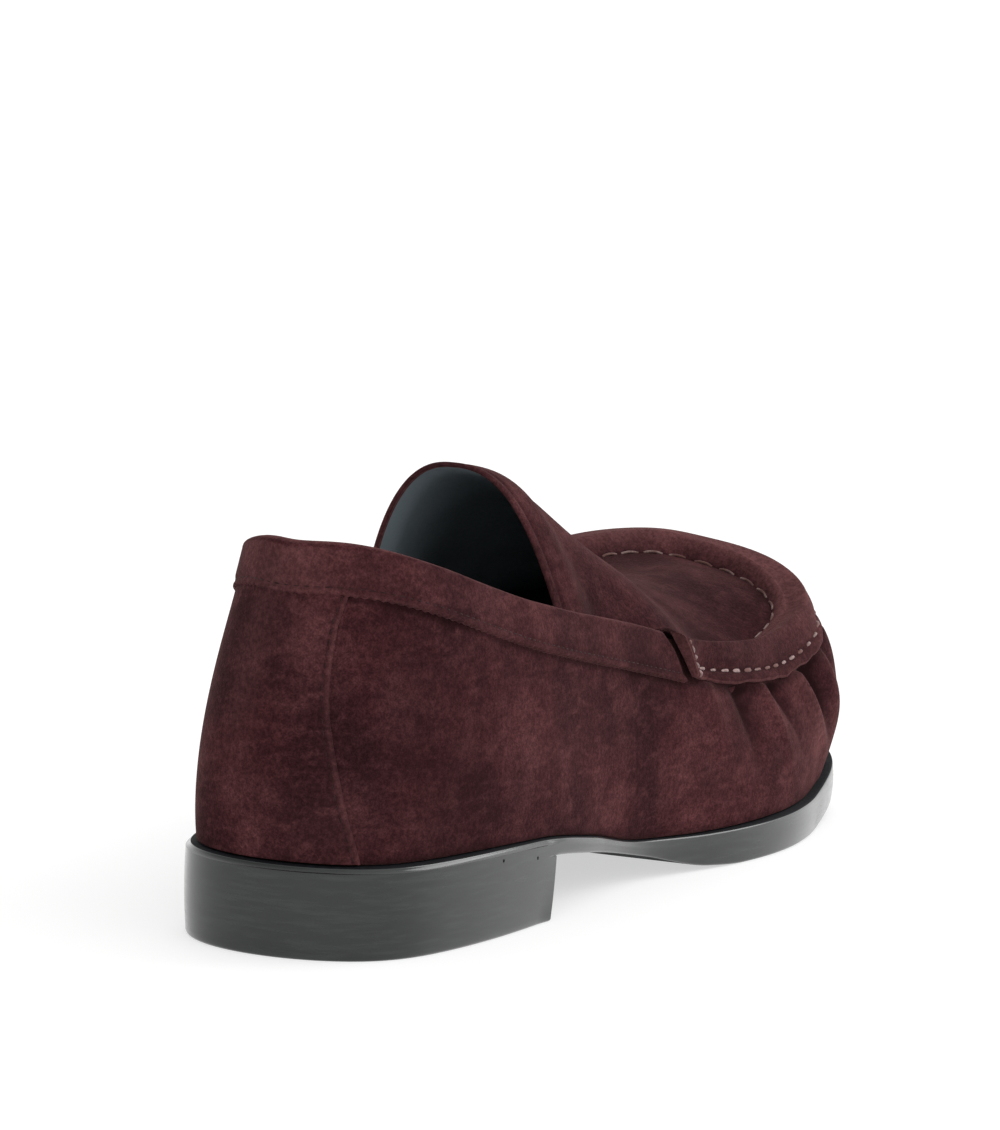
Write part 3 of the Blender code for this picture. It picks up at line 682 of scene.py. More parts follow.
def loop_of(lateral, medial, name):
    """A closed curve of one column: lateral rows at negative shares, medial rows at positive ones."""
    rows = {}
    for row in lateral:
        rows[-share(row.x)] = getattr(row, name)
    for row in medial:
        rows[share(row.x)] = getattr(row, name)
    rows.pop(1.0, None)
    knots = sorted(rows)
    return loop_curve(knots, [rows[k] for k in knots])


def outline_rows(side, sign):
    """The outsole's outline on one side as rows of x and y."""
    point = namedtuple("Point", "x y")
    return [point(row.x, sign * getattr(row, side)) for row in SOLE_OUTLINE]


# The tables above as curves.
SOLE_Y = loop_of(outline_rows("lateral", -1.0), outline_rows("medial", 1.0)[:-1], "y")
SOLE_TOP = steady(column(SOLE_HEIGHTS, "x"), column(SOLE_HEIGHTS, "top"))
SOLE_BOTTOM = steady(column(SOLE_HEIGHTS, "x"), column(SOLE_HEIGHTS, "bottom"))
RIM = {name: loop_of(LATERAL_RIM, MEDIAL_RIM, name) for name in Rim._fields[1:]}
WELT_WIDTH = steady([share(row.x) for row in WELT], column(WELT, "width"))
ARCH_SHARES = [share(row.x) for row in ARCHES]
ARCH = {name: steady(ARCH_SHARES, column(ARCHES, name)) for name in Arch._fields[1:]}
CREST_HEIGHT = steady(column(STRIP_CREST, "place"), column(STRIP_CREST, "height"))
LEAN = steady(column(END_LEAN, "below"), column(END_LEAN, "forward"))
SEAM_LATERAL = steady(column(COUNTER_SEAM, "height"), column(COUNTER_SEAM, "lateral"))
SEAM_MEDIAL = steady(column(COUNTER_SEAM, "height"), column(COUNTER_SEAM, "medial"))


def folded(t):
    """Distance of a loop place from the heel back, from 0 to 1 at the toe."""
    return np.abs((np.asarray(t, float) + 1.0) % 2.0 - 1.0)


def smooth(u):
    """An eased step from 0 to 1."""
    u = np.clip(u, 0.0, 1.0)
    return u * u * (3.0 - 2.0 * u)


def unit(vectors):
    """Vectors of length one."""
    return vectors / np.linalg.norm(vectors, axis=-1, keepdims=True)


def bell(distance, reach):
    """A soft hump: one at no distance, and almost nothing at twice its reach."""
    return np.exp(-(distance / reach) ** 2)


def sole_edge(t):
    """Plan of the outsole's edge at loop place t, from -1 at the toe round the heel at 0 to 1."""
    t = np.asarray(t, float)
    x = LENGTH * (1.0 - np.cos(pi * t)) / 2.0
    return np.stack((x, SOLE_Y(t)), -1)


def outward(t):
    """Level normal of the outsole's edge, pointing away from the shoe."""
    along = sole_edge(np.asarray(t) + SMALL) - sole_edge(np.asarray(t) - SMALL)
    return unit(np.stack((-along[..., 1], along[..., 0]), -1))


def inset_edge(t, inset):
    """The outsole's edge moved inwards."""
    return sole_edge(t) - outward(t) * np.asarray(inset)[..., None]


def wall_curve(t, v):
    """Outer face of the upper's wall at loop place t and share v of the way up to the rim."""
    t, v = np.broadcast_arrays(np.asarray(t, float), np.asarray(v, float))
    foot = inset_edge(t, WELT_WIDTH(folded(t)))
    base = np.concatenate((foot, (SOLE_TOP(foot[..., 0]) + GAP)[..., None]), -1)
    rim = np.stack((RIM["rim_x"](t), RIM["rim_y"](t), RIM["rim_z"](t)), -1)
    push = np.concatenate((outward(t), np.zeros(t.shape + (1,))), -1)
    low = base + (rim - base) / 3.0 + push * RIM["low_out"](t)[..., None]
    high = base + (rim - base) * 2.0 / 3.0 + push * RIM["high_out"](t)[..., None]
    v = v[..., None]
    w = 1.0 - v
    return w ** 3 * base + 3.0 * w * w * v * low + 3.0 * w * v * v * high + v ** 3 * rim


def wall_normal(t, v):
    """Outward normal of the wall, level at its foot."""
    t, v = np.broadcast_arrays(np.asarray(t, float), np.asarray(v, float))
    up = wall_curve(t, v + SMALL) - wall_curve(t, v - SMALL)
    along = wall_curve(t + SMALL, v) - wall_curve(t - SMALL, v)
    normal = np.cross(up, along)
    normal[..., 2] *= np.clip(v / FOOT_LEVEL, 0.0, 1.0)
    return unit(normal)


def wall_point(t, v, out):
    """A point off the wall's outer face by the distance out, negative towards the foot."""
    return wall_curve(t, v) + wall_normal(t, v) * np.asarray(out, float)[..., None]


def wall_height(t):
    """Length of the wall from foot to rim at loop place t."""
    rows = wall_curve(np.asarray(t)[..., None], np.linspace(0.0, 1.0, HEIGHT_SAMPLES))
    return np.linalg.norm(np.diff(rows, axis=-2), axis=-1).sum(-1)


def below_rim(t, distance):
    """Share of the wall's height that lies the given distance below the rim."""
    return 1.0 - distance / wall_height(t)


def rim_up(t):
    """Direction of the wall where it ends at the rim."""
    return unit(wall_curve(t, 1.0) - wall_curve(t, NEAR_RIM))


def along_rate(t):
    """Millimetres along the wall for one unit of loop place."""
    step = wall_curve(t + SMALL, RUN_ROW) - wall_curve(t - SMALL, RUN_ROW)
    return np.linalg.norm(step, axis=-1) / (2.0 * SMALL)


def signed(t):
    """A loop place from -1 to 1, lateral places negative."""
    return (np.asarray(t, float) + 1.0) % 2.0 - 1.0


def by_side(t, name):
    """A value of the arch sections that differs between the lateral and the medial side."""
    place = folded(t)
    return np.where(signed(t) < 0.0, ARCH["lateral_" + name](place), ARCH["medial_" + name](place))


def arch_edge(t, wall):
    """Edge of plug and tongue: in the middle of the wall, or tucked inside it near the throat."""
    v = below_rim(t, by_side(t, "drop"))
    return wall_point(t, v, -wall / 2.0 - ARCH["tuck"](folded(t)))


def arch_point(t, w, wall):
    """Middle of plug and tongue at loop place t, from the edge at w = 0 to the crest at w = 1."""
    t, w = np.broadcast_arrays(np.asarray(t, float), np.asarray(w, float))
    place = folded(t)
    edge = arch_edge(t, wall)
    crest = np.stack([ARCH[name](place) for name in ("crest_x", "crest_y", "crest_z")], -1)
    lift = (1.0 - (1.0 - w) ** ARCH["fullness"](place)) ** by_side(t, "ease")
    point = edge + (crest - edge) * w[..., None]
    point[..., 2] = edge[..., 2] + (crest[..., 2] - edge[..., 2]) * lift
    return point


def arch_normal(t, w, wall):
    """Upward normal of plug and tongue."""
    small = ARCH_SMALL
    t, w = np.broadcast_arrays(np.asarray(t, float), np.asarray(w, float))
    w = np.clip(w, 2.0 * small, 1.0 - 2.0 * small)
    inwards = arch_point(t, w + small, wall) - arch_point(t, w - small, wall)
    along = arch_point(t + small, w, wall) - arch_point(t - small, w, wall)
    normal = np.cross(inwards, along)
    normal *= np.sign(normal[..., 2:3])
    return unit(normal)


def arch_share(t, distance, wall):
    """Share w of the way to the crest that lies the given level distance in from the edge."""
    span = arch_point(t, 1.0, wall) - arch_point(t, 0.0, wall)
    return distance / np.hypot(span[..., 0], span[..., 1])


def waves(t, rows):
    """Soft unevenness along the loop."""
    return sum(row.height * np.sin(pi * row.count * t + row.phase) for row in rows)


def top_line_wave(t):
    """Unevenness of the top line along the quarters, none round the heel."""
    return waves(t, TOP_WAVES) * smooth((np.abs(t) - TOP_WAVE_START) / TOP_WAVE_EASE)


def wall_ripple(t, height, drift):
    """Unevenness of the wall that fades at foot and rim; its crests drift along the loop with height."""
    fade = smooth(height / WAVE_FADE) * smooth((1.0 - height) / WAVE_FADE)
    return waves(t + drift * height, WALL_WAVES) * fade


def from_strip_end(t):
    """Millimetres along the wall from the nearer rear end of the apron strip."""
    return (folded(t) - share(STRIP_END_X)) * along_rate(t)


def leaned(t, below):
    """Loop places moved along the wall so that the strip's rear ends are cut on a slant."""
    fade = 1.0 - smooth(from_strip_end(t) / LEAN_REACH)
    forward = np.where(np.asarray(t) % 2.0 < 1.0, 1.0, -1.0)
    return t + forward * LEAN(below) * fade / along_rate(t)


def near_strip_end(t, reach):
    """A soft hump at the rear ends of the apron strip."""
    return bell(np.clip(from_strip_end(t), 0.0, None), reach)


def strip_lift(t):
    """How far the rear ends of the apron strip stand off the binding under them."""
    return STRIP_END_LIFT * near_strip_end(t, STRIP_END_REACH)


def strip_face(t, out, end_out):
    """Height of the strip's face off the wall, rolled at its rear ends."""
    roll = near_strip_end(t, STRIP_END_ROLL)
    return out * (1.0 - roll) + end_out * roll + strip_lift(t)


def pleat_height(t, below):
    """Height of the gathers under the apron strip, by loop place and distance below the rim."""
    strip_low = STRIP_FACE[0].below
    rate = along_rate(t)
    start = smooth((below - strip_low + PLEAT_LEAD) / PLEAT_RISE)
    total = np.zeros(np.broadcast(t, below).shape)
    for pleat in PLEATS:
        middle = pleat.place + pleat.slant * (below - strip_low)
        across = signed(t - middle) * rate / pleat.width
        down = np.clip((below - strip_low) / pleat.reach, 0.0, 1.0)
        hump = np.exp(-np.abs(across) ** PLEAT_POWER)
        total += pleat.height * hump * (1.0 + np.cos(pi * down)) / 2.0
    return total * start


def rounded(points, per_span):
    """Smooth rows through the control points of every section."""
    first = 2.0 * points[:, :1] - points[:, 1:2]
    last = 2.0 * points[:, -1:] - points[:, -2:-1]
    rows = np.concatenate((first, points, last), 1)
    u = np.linspace(0.0, 1.0, per_span, endpoint=False)[None, :, None]
    spans = []
    for i in range(points.shape[1] - 1):
        p0, p1, p2, p3 = (rows[:, i + k][:, None] for k in range(4))
        spans.append(0.5 * (
            2.0 * p1 + (p2 - p0) * u + (2.0 * p0 - 5.0 * p1 + 4.0 * p2 - p3) * u ** 2
            + (3.0 * p1 - p0 - 3.0 * p2 + p3) * u ** 3
        ))
    spans.append(points[:, -1:])
    return np.concatenate(spans, 1)


def tube_faces(rings, size, closed_along, closed_round=True):
    """Quads between neighbouring rings of the same size."""
    i = np.arange(rings if closed_along else rings - 1)[:, None]
    k = np.arange(size if closed_round else size - 1)[None, :]
    j = (i + 1) % rings
    m = (k + 1) % size
    quads = np.stack((i * size + k, j * size + k, j * size + m, i * size + m), -1)
    return quads.reshape(-1, 4)


def capped_tube(rings, size):
    """Faces of a tube of rings with both its ends closed."""
    ends = [tuple(range(size)), tuple(range((rings - 1) * size, rings * size))]
    return tube_faces(rings, size, False).tolist() + ends


def add_mesh(name, points, faces, materials, face_slots=None, shades=None):
    """A smooth piece from points in millimetres on the last's axes; shades are named numbers on them."""
    mesh = bpy.data.meshes.new(name)
    placed = (np.asarray(points, float).reshape(-1, 3) + SHIFT) * MM
    mesh.from_pydata(placed.tolist(), [], [tuple(map(int, face)) for face in faces])
    for material in materials:
        mesh.materials.append(material)
    if face_slots is not None:
        mesh.polygons.foreach_set("material_index", np.asarray(face_slots, np.int32))
    for shade, values in (shades or {}).items():
        layer = mesh.attributes.new(shade, "FLOAT", "POINT")
        layer.data.foreach_set("value", np.asarray(values, np.float32).ravel())
    work = bmesh.new()
    work.from_mesh(mesh)
    bmesh.ops.remove_doubles(work, verts=work.verts, dist=MERGE_DISTANCE)
    bmesh.ops.dissolve_degenerate(work, edges=work.edges, dist=THIN_DISTANCE)
    bmesh.ops.recalc_face_normals(work, faces=work.faces)
    work.to_mesh(mesh)
    work.free()
    mesh.shade_smooth()
    mesh.set_sharp_from_angle(angle=radians(SHARP_TURN))
    piece = bpy.data.objects.new(name, mesh)
    bpy.context.scene.collection.objects.link(piece)
    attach(piece, BODY)
    return piece


def node(tree, kind, inputs=None, **settings):
    """A node with its settings and the plain values of its inputs."""
    made = tree.nodes.new(kind)
    for name, value in settings.items():
        setattr(made, name, value)
    for name, value in (inputs or {}).items():
        made.inputs[name].default_value = value
    return made


def noise(tree, vector, scale, detail, roughness=0.55, distortion=0.0):
    """A noise pattern on the given coordinates."""
    made = node(tree, "ShaderNodeTexNoise", {
        "Scale": scale, "Detail": detail, "Roughness": roughness, "Distortion": distortion,
    })
    tree.links.new(vector, made.inputs["Vector"])
    return made.outputs["Fac"]


def remap(tree, value, low, high, to_low=0.0, to_high=1.0):
    """A value moved from one range to another, and held there."""
    made = node(tree, "ShaderNodeMapRange", {
        "From Min": low, "From Max": high, "To Min": to_low, "To Max": to_high,
    }, interpolation_type="SMOOTHSTEP")
    tree.links.new(value, made.inputs["Value"])
    return made.outputs["Result"]


def math(tree, operation, first, second):
    """One sum of two values, where the second may be a plain number."""
    made = node(tree, "ShaderNodeMath", operation=operation)
    tree.links.new(first, made.inputs[0])
    if isinstance(second, float):
        made.inputs[1].default_value = second
    else:
        tree.links.new(second, made.inputs[1])
    return made.outputs["Value"]


def mix(tree, share_of, first, second):
    """Two colours mixed by a value; each colour is a plain colour or a link."""
    made = node(tree, "ShaderNodeMix", data_type="RGBA")
    tree.links.new(share_of, made.inputs["Factor"])
    for name, colour in (("A", first), ("B", second)):
        socket = next(s for s in made.inputs if s.name == name and s.type == "RGBA")
        if isinstance(colour, bpy.types.NodeSocket):
            tree.links.new(colour, socket)
        else:
            socket.default_value = (*colour, 1.0)
    return next(s for s in made.outputs if s.type == "RGBA")


def scaled(tree, colour, factor):
    """A colour made darker or lighter by a factor."""
    made = node(tree, "ShaderNodeVectorMath", operation="SCALE")
    tree.links.new(colour, made.inputs["Vector"])
    tree.links.new(factor, made.inputs["Scale"])
    return made.outputs["Vector"]


def new_material(name, values):
    """A material with plain values on its shader, and the parts that its nodes hang on."""
    material = bpy.data.materials.get(name)
    if material is not None:
        return material, None, None
    material = bpy.data.materials.new(name)
    material.use_nodes = True
    tree = material.node_tree
    shader = tree.nodes["Principled BSDF"]
    for key, value in values.items():
        shader.inputs[key].default_value = value
    return material, tree, shader


def placed_coords(tree, scale=(1.0, 1.0, 1.0), turn=(0.0, 0.0, 0.0)):
    """Object coordinates, stretched and turned."""
    coords = node(tree, "ShaderNodeTexCoord")
    mapping = node(tree, "ShaderNodeMapping", {"Scale": scale, "Rotation": turn})
    tree.links.new(coords.outputs["Object"], mapping.inputs["Vector"])
    return mapping.outputs["Vector"]


def shade_value(tree, name):
    """A named number that the mesh carries on its points."""
    return node(tree, "ShaderNodeAttribute", attribute_name=name).outputs["Fac"]


def tinted(colour, factor):
    """A plain colour made darker or lighter by a factor."""
    return tuple(factor * c for c in colour)


def dress(tree, shader, colour, roughness, relief, depth, strength):
    """Links a material's colour, roughness and relief to its shader; depth is the relief's, in metres."""
    tree.links.new(colour, shader.inputs["Base Color"])
    tree.links.new(roughness, shader.inputs["Roughness"])
    made = node(tree, "ShaderNodeBump", {"Strength": strength, "Distance": depth})
    tree.links.new(relief, made.inputs["Height"])
    tree.links.new(made.outputs["Normal"], shader.inputs["Normal"])


def suede_material():
    """Napped leather: clouded brush marks, a fine fibre relief, a soft sheen, painted shade, and paler
    places that are partly worn edges and partly painted light and sheen.
    """
    finish = bpy.context.scene.loafer_finish
    material, tree, shader = new_material("burgundy_suede", {
        "Sheen Weight": 0.11, "Sheen Roughness": 0.28, "Sheen Tint": (0.95, 0.48, 0.46, 1.0),
        "Specular IOR Level": 0.02,
    })
    if tree is None:
        return material
    dark, mid, light = (tuple(c) for c in (finish.suede_dark, finish.suede_mid, finish.suede_light))
    plain = placed_coords(tree)
    brushed = placed_coords(tree, (0.6, 0.6, 1.6), (0.0, radians(38.0), radians(12.0)))
    clouds = noise(tree, plain, scale=26.0, detail=2.0, roughness=0.5, distortion=0.2)
    patches = noise(tree, plain, scale=62.0, detail=3.0, roughness=0.55, distortion=0.25)
    mottle = noise(tree, brushed, scale=260.0, detail=3.0, roughness=0.6, distortion=0.2)
    flecks = noise(tree, plain, scale=900.0, detail=3.0, roughness=0.7)
    fibres = noise(tree, plain, scale=2600.0, detail=2.0, roughness=0.6)
    base = mix(tree, remap(tree, clouds, 0.36, 0.60), dark, mid)
    for pattern, low, high, amount, colour in (
        (patches, 0.46, 0.72, 0.58, light),
        (patches, 0.54, 0.30, 0.66, dark),
        (mottle, 0.48, 0.70, 0.34, light),
        (mottle, 0.52, 0.33, 0.40, dark),
    ):
        base = mix(tree, math(tree, "MULTIPLY", remap(tree, pattern, low, high), amount), base, colour)
    for pattern, low, high, darkest, lightest in (
        (flecks, 0.34, 0.70, 0.80, 1.45),
        (fibres, 0.36, 0.62, 0.72, 1.12),
    ):
        base = scaled(tree, base, remap(tree, pattern, low, high, darkest, lightest))
    # Painted shade from the mesh: darker suede in creases, channels, under edges and on darker patches.
    base = mix(tree, math(tree, "MULTIPLY", shade_value(tree, "hollow"), 0.80), base, tinted(dark, 0.45))
    # Paler places, partly worn edges and partly painted light and sheen, speckled towards the raw edge
    # colour.
    speckle = remap(tree, flecks, 0.32, 0.68, 0.55, 1.0)
    speckled = math(tree, "MULTIPLY", shade_value(tree, "worn"), speckle)
    base = mix(tree, speckled, base, tuple(finish.raw_edge_and_light))
    relief = math(tree, "ADD", flecks, math(tree, "ADD", fibres, math(tree, "MULTIPLY", mottle, 0.6)))
    dress(tree, shader, base, remap(tree, mottle, 0.3, 0.7, 1.0, 0.9), relief, depth=0.0003, strength=0.4)
    return material


def lining_material():
    """Smooth dark lining leather with a fine grain, and painted light where it falls in at the throat."""
    finish = bpy.context.scene.loafer_finish
    material, tree, shader = new_material("dark_lining", {"Specular IOR Level": 0.40})
    if tree is None:
        return material
    plain = placed_coords(tree)
    cloud = noise(tree, plain, scale=30.0, detail=2.0)
    grain = noise(tree, plain, scale=900.0, detail=3.0, roughness=0.6)
    base = mix(tree, remap(tree, cloud, 0.3, 0.7), tinted(finish.lining, 0.55), tuple(finish.lining))
    # Painted light: lighter lining near the throat, where light falls in through the opening.
    base = mix(tree, shade_value(tree, "worn"), base, tinted(finish.lining, 2.4))
    dress(tree, shader, base, remap(tree, grain, 0.3, 0.7, 0.45, 0.60), grain, depth=0.0002, strength=0.25)
    return material


def sole_edge_material():
    """Waxed black edge: fine level streaks from the trimming wheel, and soft blotches in its gloss."""
    colour = tuple(bpy.context.scene.loafer_finish.sole)
    material, tree, shader = new_material("waxed_sole_edge", {
        "Specular IOR Level": 0.28, "Coat Weight": 0.50, "Coat Roughness": 0.10,
    })
    if tree is None:
        return material
    streaks = noise(tree, placed_coords(tree, (0.10, 0.10, 1.0)), scale=900.0, detail=4.0, roughness=0.6)
    blotches = noise(tree, placed_coords(tree), scale=60.0, detail=3.0)
    base = mix(tree, remap(tree, streaks, 0.4, 0.75), colour, tinted(colour, 2.2))
    streaked = remap(tree, streaks, 0.3, 0.7, 0.0, 0.08)
    gloss = math(tree, "ADD", streaked, remap(tree, blotches, 0.3, 0.7, 0.12, 0.22))
    dress(tree, shader, base, gloss, streaks, depth=0.0001, strength=0.12)
    return material


def sole_top_material():
    """Dull black leather of the sole's top and bottom."""
    colour = tuple(bpy.context.scene.loafer_finish.sole_top)
    material, tree, shader = new_material("dull_sole_top", {"Specular IOR Level": 0.15})
    if tree is None:
        return material
    grain = noise(tree, placed_coords(tree), scale=700.0, detail=3.0)
    base = mix(tree, remap(tree, grain, 0.4, 0.7), colour, tinted(colour, 2.0))
    dress(tree, shader, base, remap(tree, grain, 0.3, 0.7, 0.7, 0.85), grain, depth=0.0002, strength=0.3)
    return material


def thread_material(name, colour):
    """Twisted thread, a little uneven in colour and soiled in places."""
    material, tree, shader = new_material(name, {"Specular IOR Level": 0.12, "Sheen Weight": 0.05})
    if tree is None:
        return material
    twist = noise(tree, placed_coords(tree, turn=(0.0, radians(30.0), 0.0)), scale=1600.0, detail=2.0)
    soiling = noise(tree, placed_coords(tree), scale=190.0, detail=1.0)
    soiled = tuple(left * c for left, c in zip(THREAD_SOIL, colour))
    base = mix(tree, remap(tree, twist, 0.35, 0.65), tinted(colour, 0.6), tuple(colour))
    base = mix(tree, remap(tree, soiling, 0.56, 0.40), base, soiled)
    dress(tree, shader, base, remap(tree, twist, 0.3, 0.7, 0.6, 0.8), twist, depth=0.0002, strength=0.4)
    return material


def nap_shade(t, height, patches):
    """Soft patches on the wall, of nap and of painted shade and light."""
    total = 0.0
    for patch in patches:
        away = ((t - patch.place) / patch.along) ** 2 + ((height - patch.height) / patch.up) ** 2
        total = total + patch.depth * np.exp(-away)
    return total


def along_shade(places, stretches):
    """Soft darker and lighter stretches along a line."""
    return sum(part.depth * bell(places - part.place, part.along) for part in stretches)


def contact_shade(t, below, height):
    """Painted shadow under the lower edges of binding and strip, and painted shade along the sole."""
    front = smooth(from_strip_end(t) / EDGE_SHADOW_CHANGE + 0.5)
    band = mm(bpy.context.scene.loafer_sizes.band_width)
    under_band = bell(below - band - BAND_EDGE_SHADOW.past, BAND_EDGE_SHADOW.reach) * (1.0 - front)
    under_strip = bell(below - STRIP_FACE[0].below - STRIP_EDGE_SHADOW.past, STRIP_EDGE_SHADOW.reach) * front
    at_sole = bell(height * wall_height(t) - SOLE_EDGE_SHADOW.past, SOLE_EDGE_SHADOW.reach)
    return BAND_EDGE_SHADOW.depth * under_band + STRIP_EDGE_SHADOW.depth * under_strip + SOLE_EDGE_SHADOW.depth * at_sole


def build_wall():
    """Quarters and toe wall: suede with its gathers outside, lining inside."""
    wall = mm(bpy.context.scene.loafer_sizes.wall)
    places = np.linspace(-1.0, 1.0, RING_STEPS + 1)[:-1]
    t = places[:, None]
    rows = np.linspace(0.0, 1.0, WALL_ROWS)[None, :]
    height = wall_height(places)[:, None]
    below = (1.0 - rows) * height
    pleats = pleat_height(t, below)
    outer = wall_point(t, rows, pleats + wall_ripple(t, rows, WALL_DRIFT))
    foot = outer[:, :1].copy()
    foot[..., :2] -= outward(places)[:, None] * FOOT_TUCK
    foot[..., 2] -= GAP * FOOT_SINK
    over = wall_point(places, 1.0, -wall / 2.0) + rim_up(places) * RIM_CLOSING
    lining_rows = np.linspace(1.0, 0.0, LINING_ROWS)[None, :]
    sunk = np.minimum(pleat_height(t, (1.0 - lining_rows) * height), 0.0)
    inner = wall_point(t, lining_rows, sunk - wall)
    section = np.concatenate((foot, outer, over[:, None], inner), 1)
    size = section.shape[1]
    suede = slice(1, WALL_ROWS + 1)
    hollow = np.zeros(section.shape[:2])
    # Painted shade in the gathers' troughs, under the edges above and along the sole, and on darker patches.
    hollow[:, suede] = np.clip(-PLEAT_SHADE * pleats, 0.0, 1.0) + contact_shade(t, below, rows)
    hollow[:, suede] += nap_shade(t, rows, NAP_AND_SHADE_PATCHES)
    worn = np.zeros(section.shape[:2])
    # Painted highlight on the gathers' ridges, and lighter patches of nap and painted light.
    worn[:, suede] = PLEAT_RIDGE_HIGHLIGHT * np.clip(pleats - PLEAT_HIGHLIGHT_FROM, 0.0, PLEAT_HIGHLIGHT_SPAN)
    worn[:, suede] += nap_shade(t, rows, NAP_AND_LIGHT_PATCHES)
    slots = np.tile(np.arange(size) > WALL_ROWS, RING_STEPS).astype(int)
    piece = add_mesh(
        "upper_wall", section, tube_faces(RING_STEPS, size, True),
        (suede_material(), lining_material()), slots, {"hollow": hollow, "worn": worn},
    )
    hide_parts("upper")


def build_plug():
    """Plug and tongue as one sheet with a folded throat edge, lined underneath."""
    wall = mm(bpy.context.scene.loafer_sizes.wall)
    throat = share(THROAT_X)
    shares = (throat + (1.0 - throat) * np.linspace(0.0, 1.0, PLUG_STEPS + 1) ** PLUG_CROWDING)[:, None]
    across = np.linspace(0.0, 1.0, PLUG_COLUMNS)[None, :] ** PLUG_SPREAD
    sides = []
    normals = []
    for sign in (-1.0, 1.0):
        sides.append(arch_point(sign * shares, across, wall))
        normals.append(arch_normal(sign * shares, across, wall))
    crest = unit(normals[0][:, -1:] + normals[1][:, -1:])
    middle = np.concatenate((sides[0], sides[1][:, -2::-1]), 1)
    normal = np.concatenate((normals[0][:, :-1], crest, normals[1][:, -2::-1]), 1)
    half = wall / 2.0
    from_throat = np.linalg.norm(middle - middle[:1], axis=-1)
    groove = bell(from_throat - THROAT_FOLD, THROAT_GROOVE_REACH)
    top = middle + normal * (half - THROAT_GROOVE * groove)[..., None]
    skived = half * (THROAT_EDGE + (1.0 - THROAT_EDGE) * smooth(from_throat / THROAT_SKIVE))
    under = middle - normal * skived[..., None]
    beyond = unit(middle[0] - middle[1])
    fold_radius = half * (1.0 + THROAT_EDGE) / 2.0
    fold_centre = middle[0] + normal[0] * (half - fold_radius)
    fold = []
    for turn in np.radians(THROAT_TURNS):
        fold.append(fold_centre + (normal[0] * cos(turn) + beyond * sin(turn)) * fold_radius)
    path = np.concatenate((top[::-1], np.array(fold), under), 0)
    count, columns = path.shape[:2]
    faces = tube_faces(columns, count, False, False)
    edge = []
    for line in (0, (columns - 1) * count):
        for k in range(count // 2):
            edge.append((line + k, line + k + 1, line + count - 2 - k, line + count - 1 - k))
    fold_line = PLUG_STEPS + 1 + len(fold)
    slots = np.tile(np.arange(count - 1) >= fold_line + LINING_FROM, columns - 1).astype(int)
    slots = np.concatenate((slots, np.zeros(len(edge), int)))
    worn = np.zeros((columns, count))
    # The throat's fold paler, partly wear and partly painted sheen.
    worn[:, PLUG_STEPS + 1:fold_line + 1] = THROAT_WEAR_AND_SHEEN
    # Painted light in the lining near the throat.
    worn[:, fold_line:] = bell(from_throat, LINING_LIGHT_REACH).T
    # Painted shade in the throat's groove and on the dished plug, with darker and lighter stretches down the
    # tongue.
    hollow = np.zeros((columns, count))
    dish = PLUG_SHADE + DISH_SHADE * smooth((middle[..., 0] - DISH_START_X) / DISH_REACH)
    dish += along_shade(from_throat, TONGUE_TONE)
    hollow[:, :PLUG_STEPS + 1] = (THROAT_GROOVE_SHADE * groove + dish)[::-1].T
    piece = add_mesh(
        "plug_and_tongue", path.transpose(1, 0, 2), faces.tolist() + edge,
        (suede_material(), lining_material()), slots, {"hollow": hollow, "worn": worn},
    )
    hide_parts("upper")


def behind_strip(t, below):
    """Millimetres from a place on the binding forward to the strip's rear end."""
    return LEAN(below) - from_strip_end(t)


def skive(t, below):
    """Share of the binding's thickness, pared away where it dips in under the strip."""
    full = smooth((behind_strip(t, below) + BAND_SKIVE_LEAD) / BAND_SKIVE)
    return BAND_PARED + (1.0 - BAND_PARED) * full


def band_wave(t, below):
    """How far the top line's waves push the binding off the wall, more towards its lower edge."""
    width = mm(bpy.context.scene.loafer_sizes.band_width)
    return BAND_WAVE * top_line_wave(t) * (below / width) ** 2


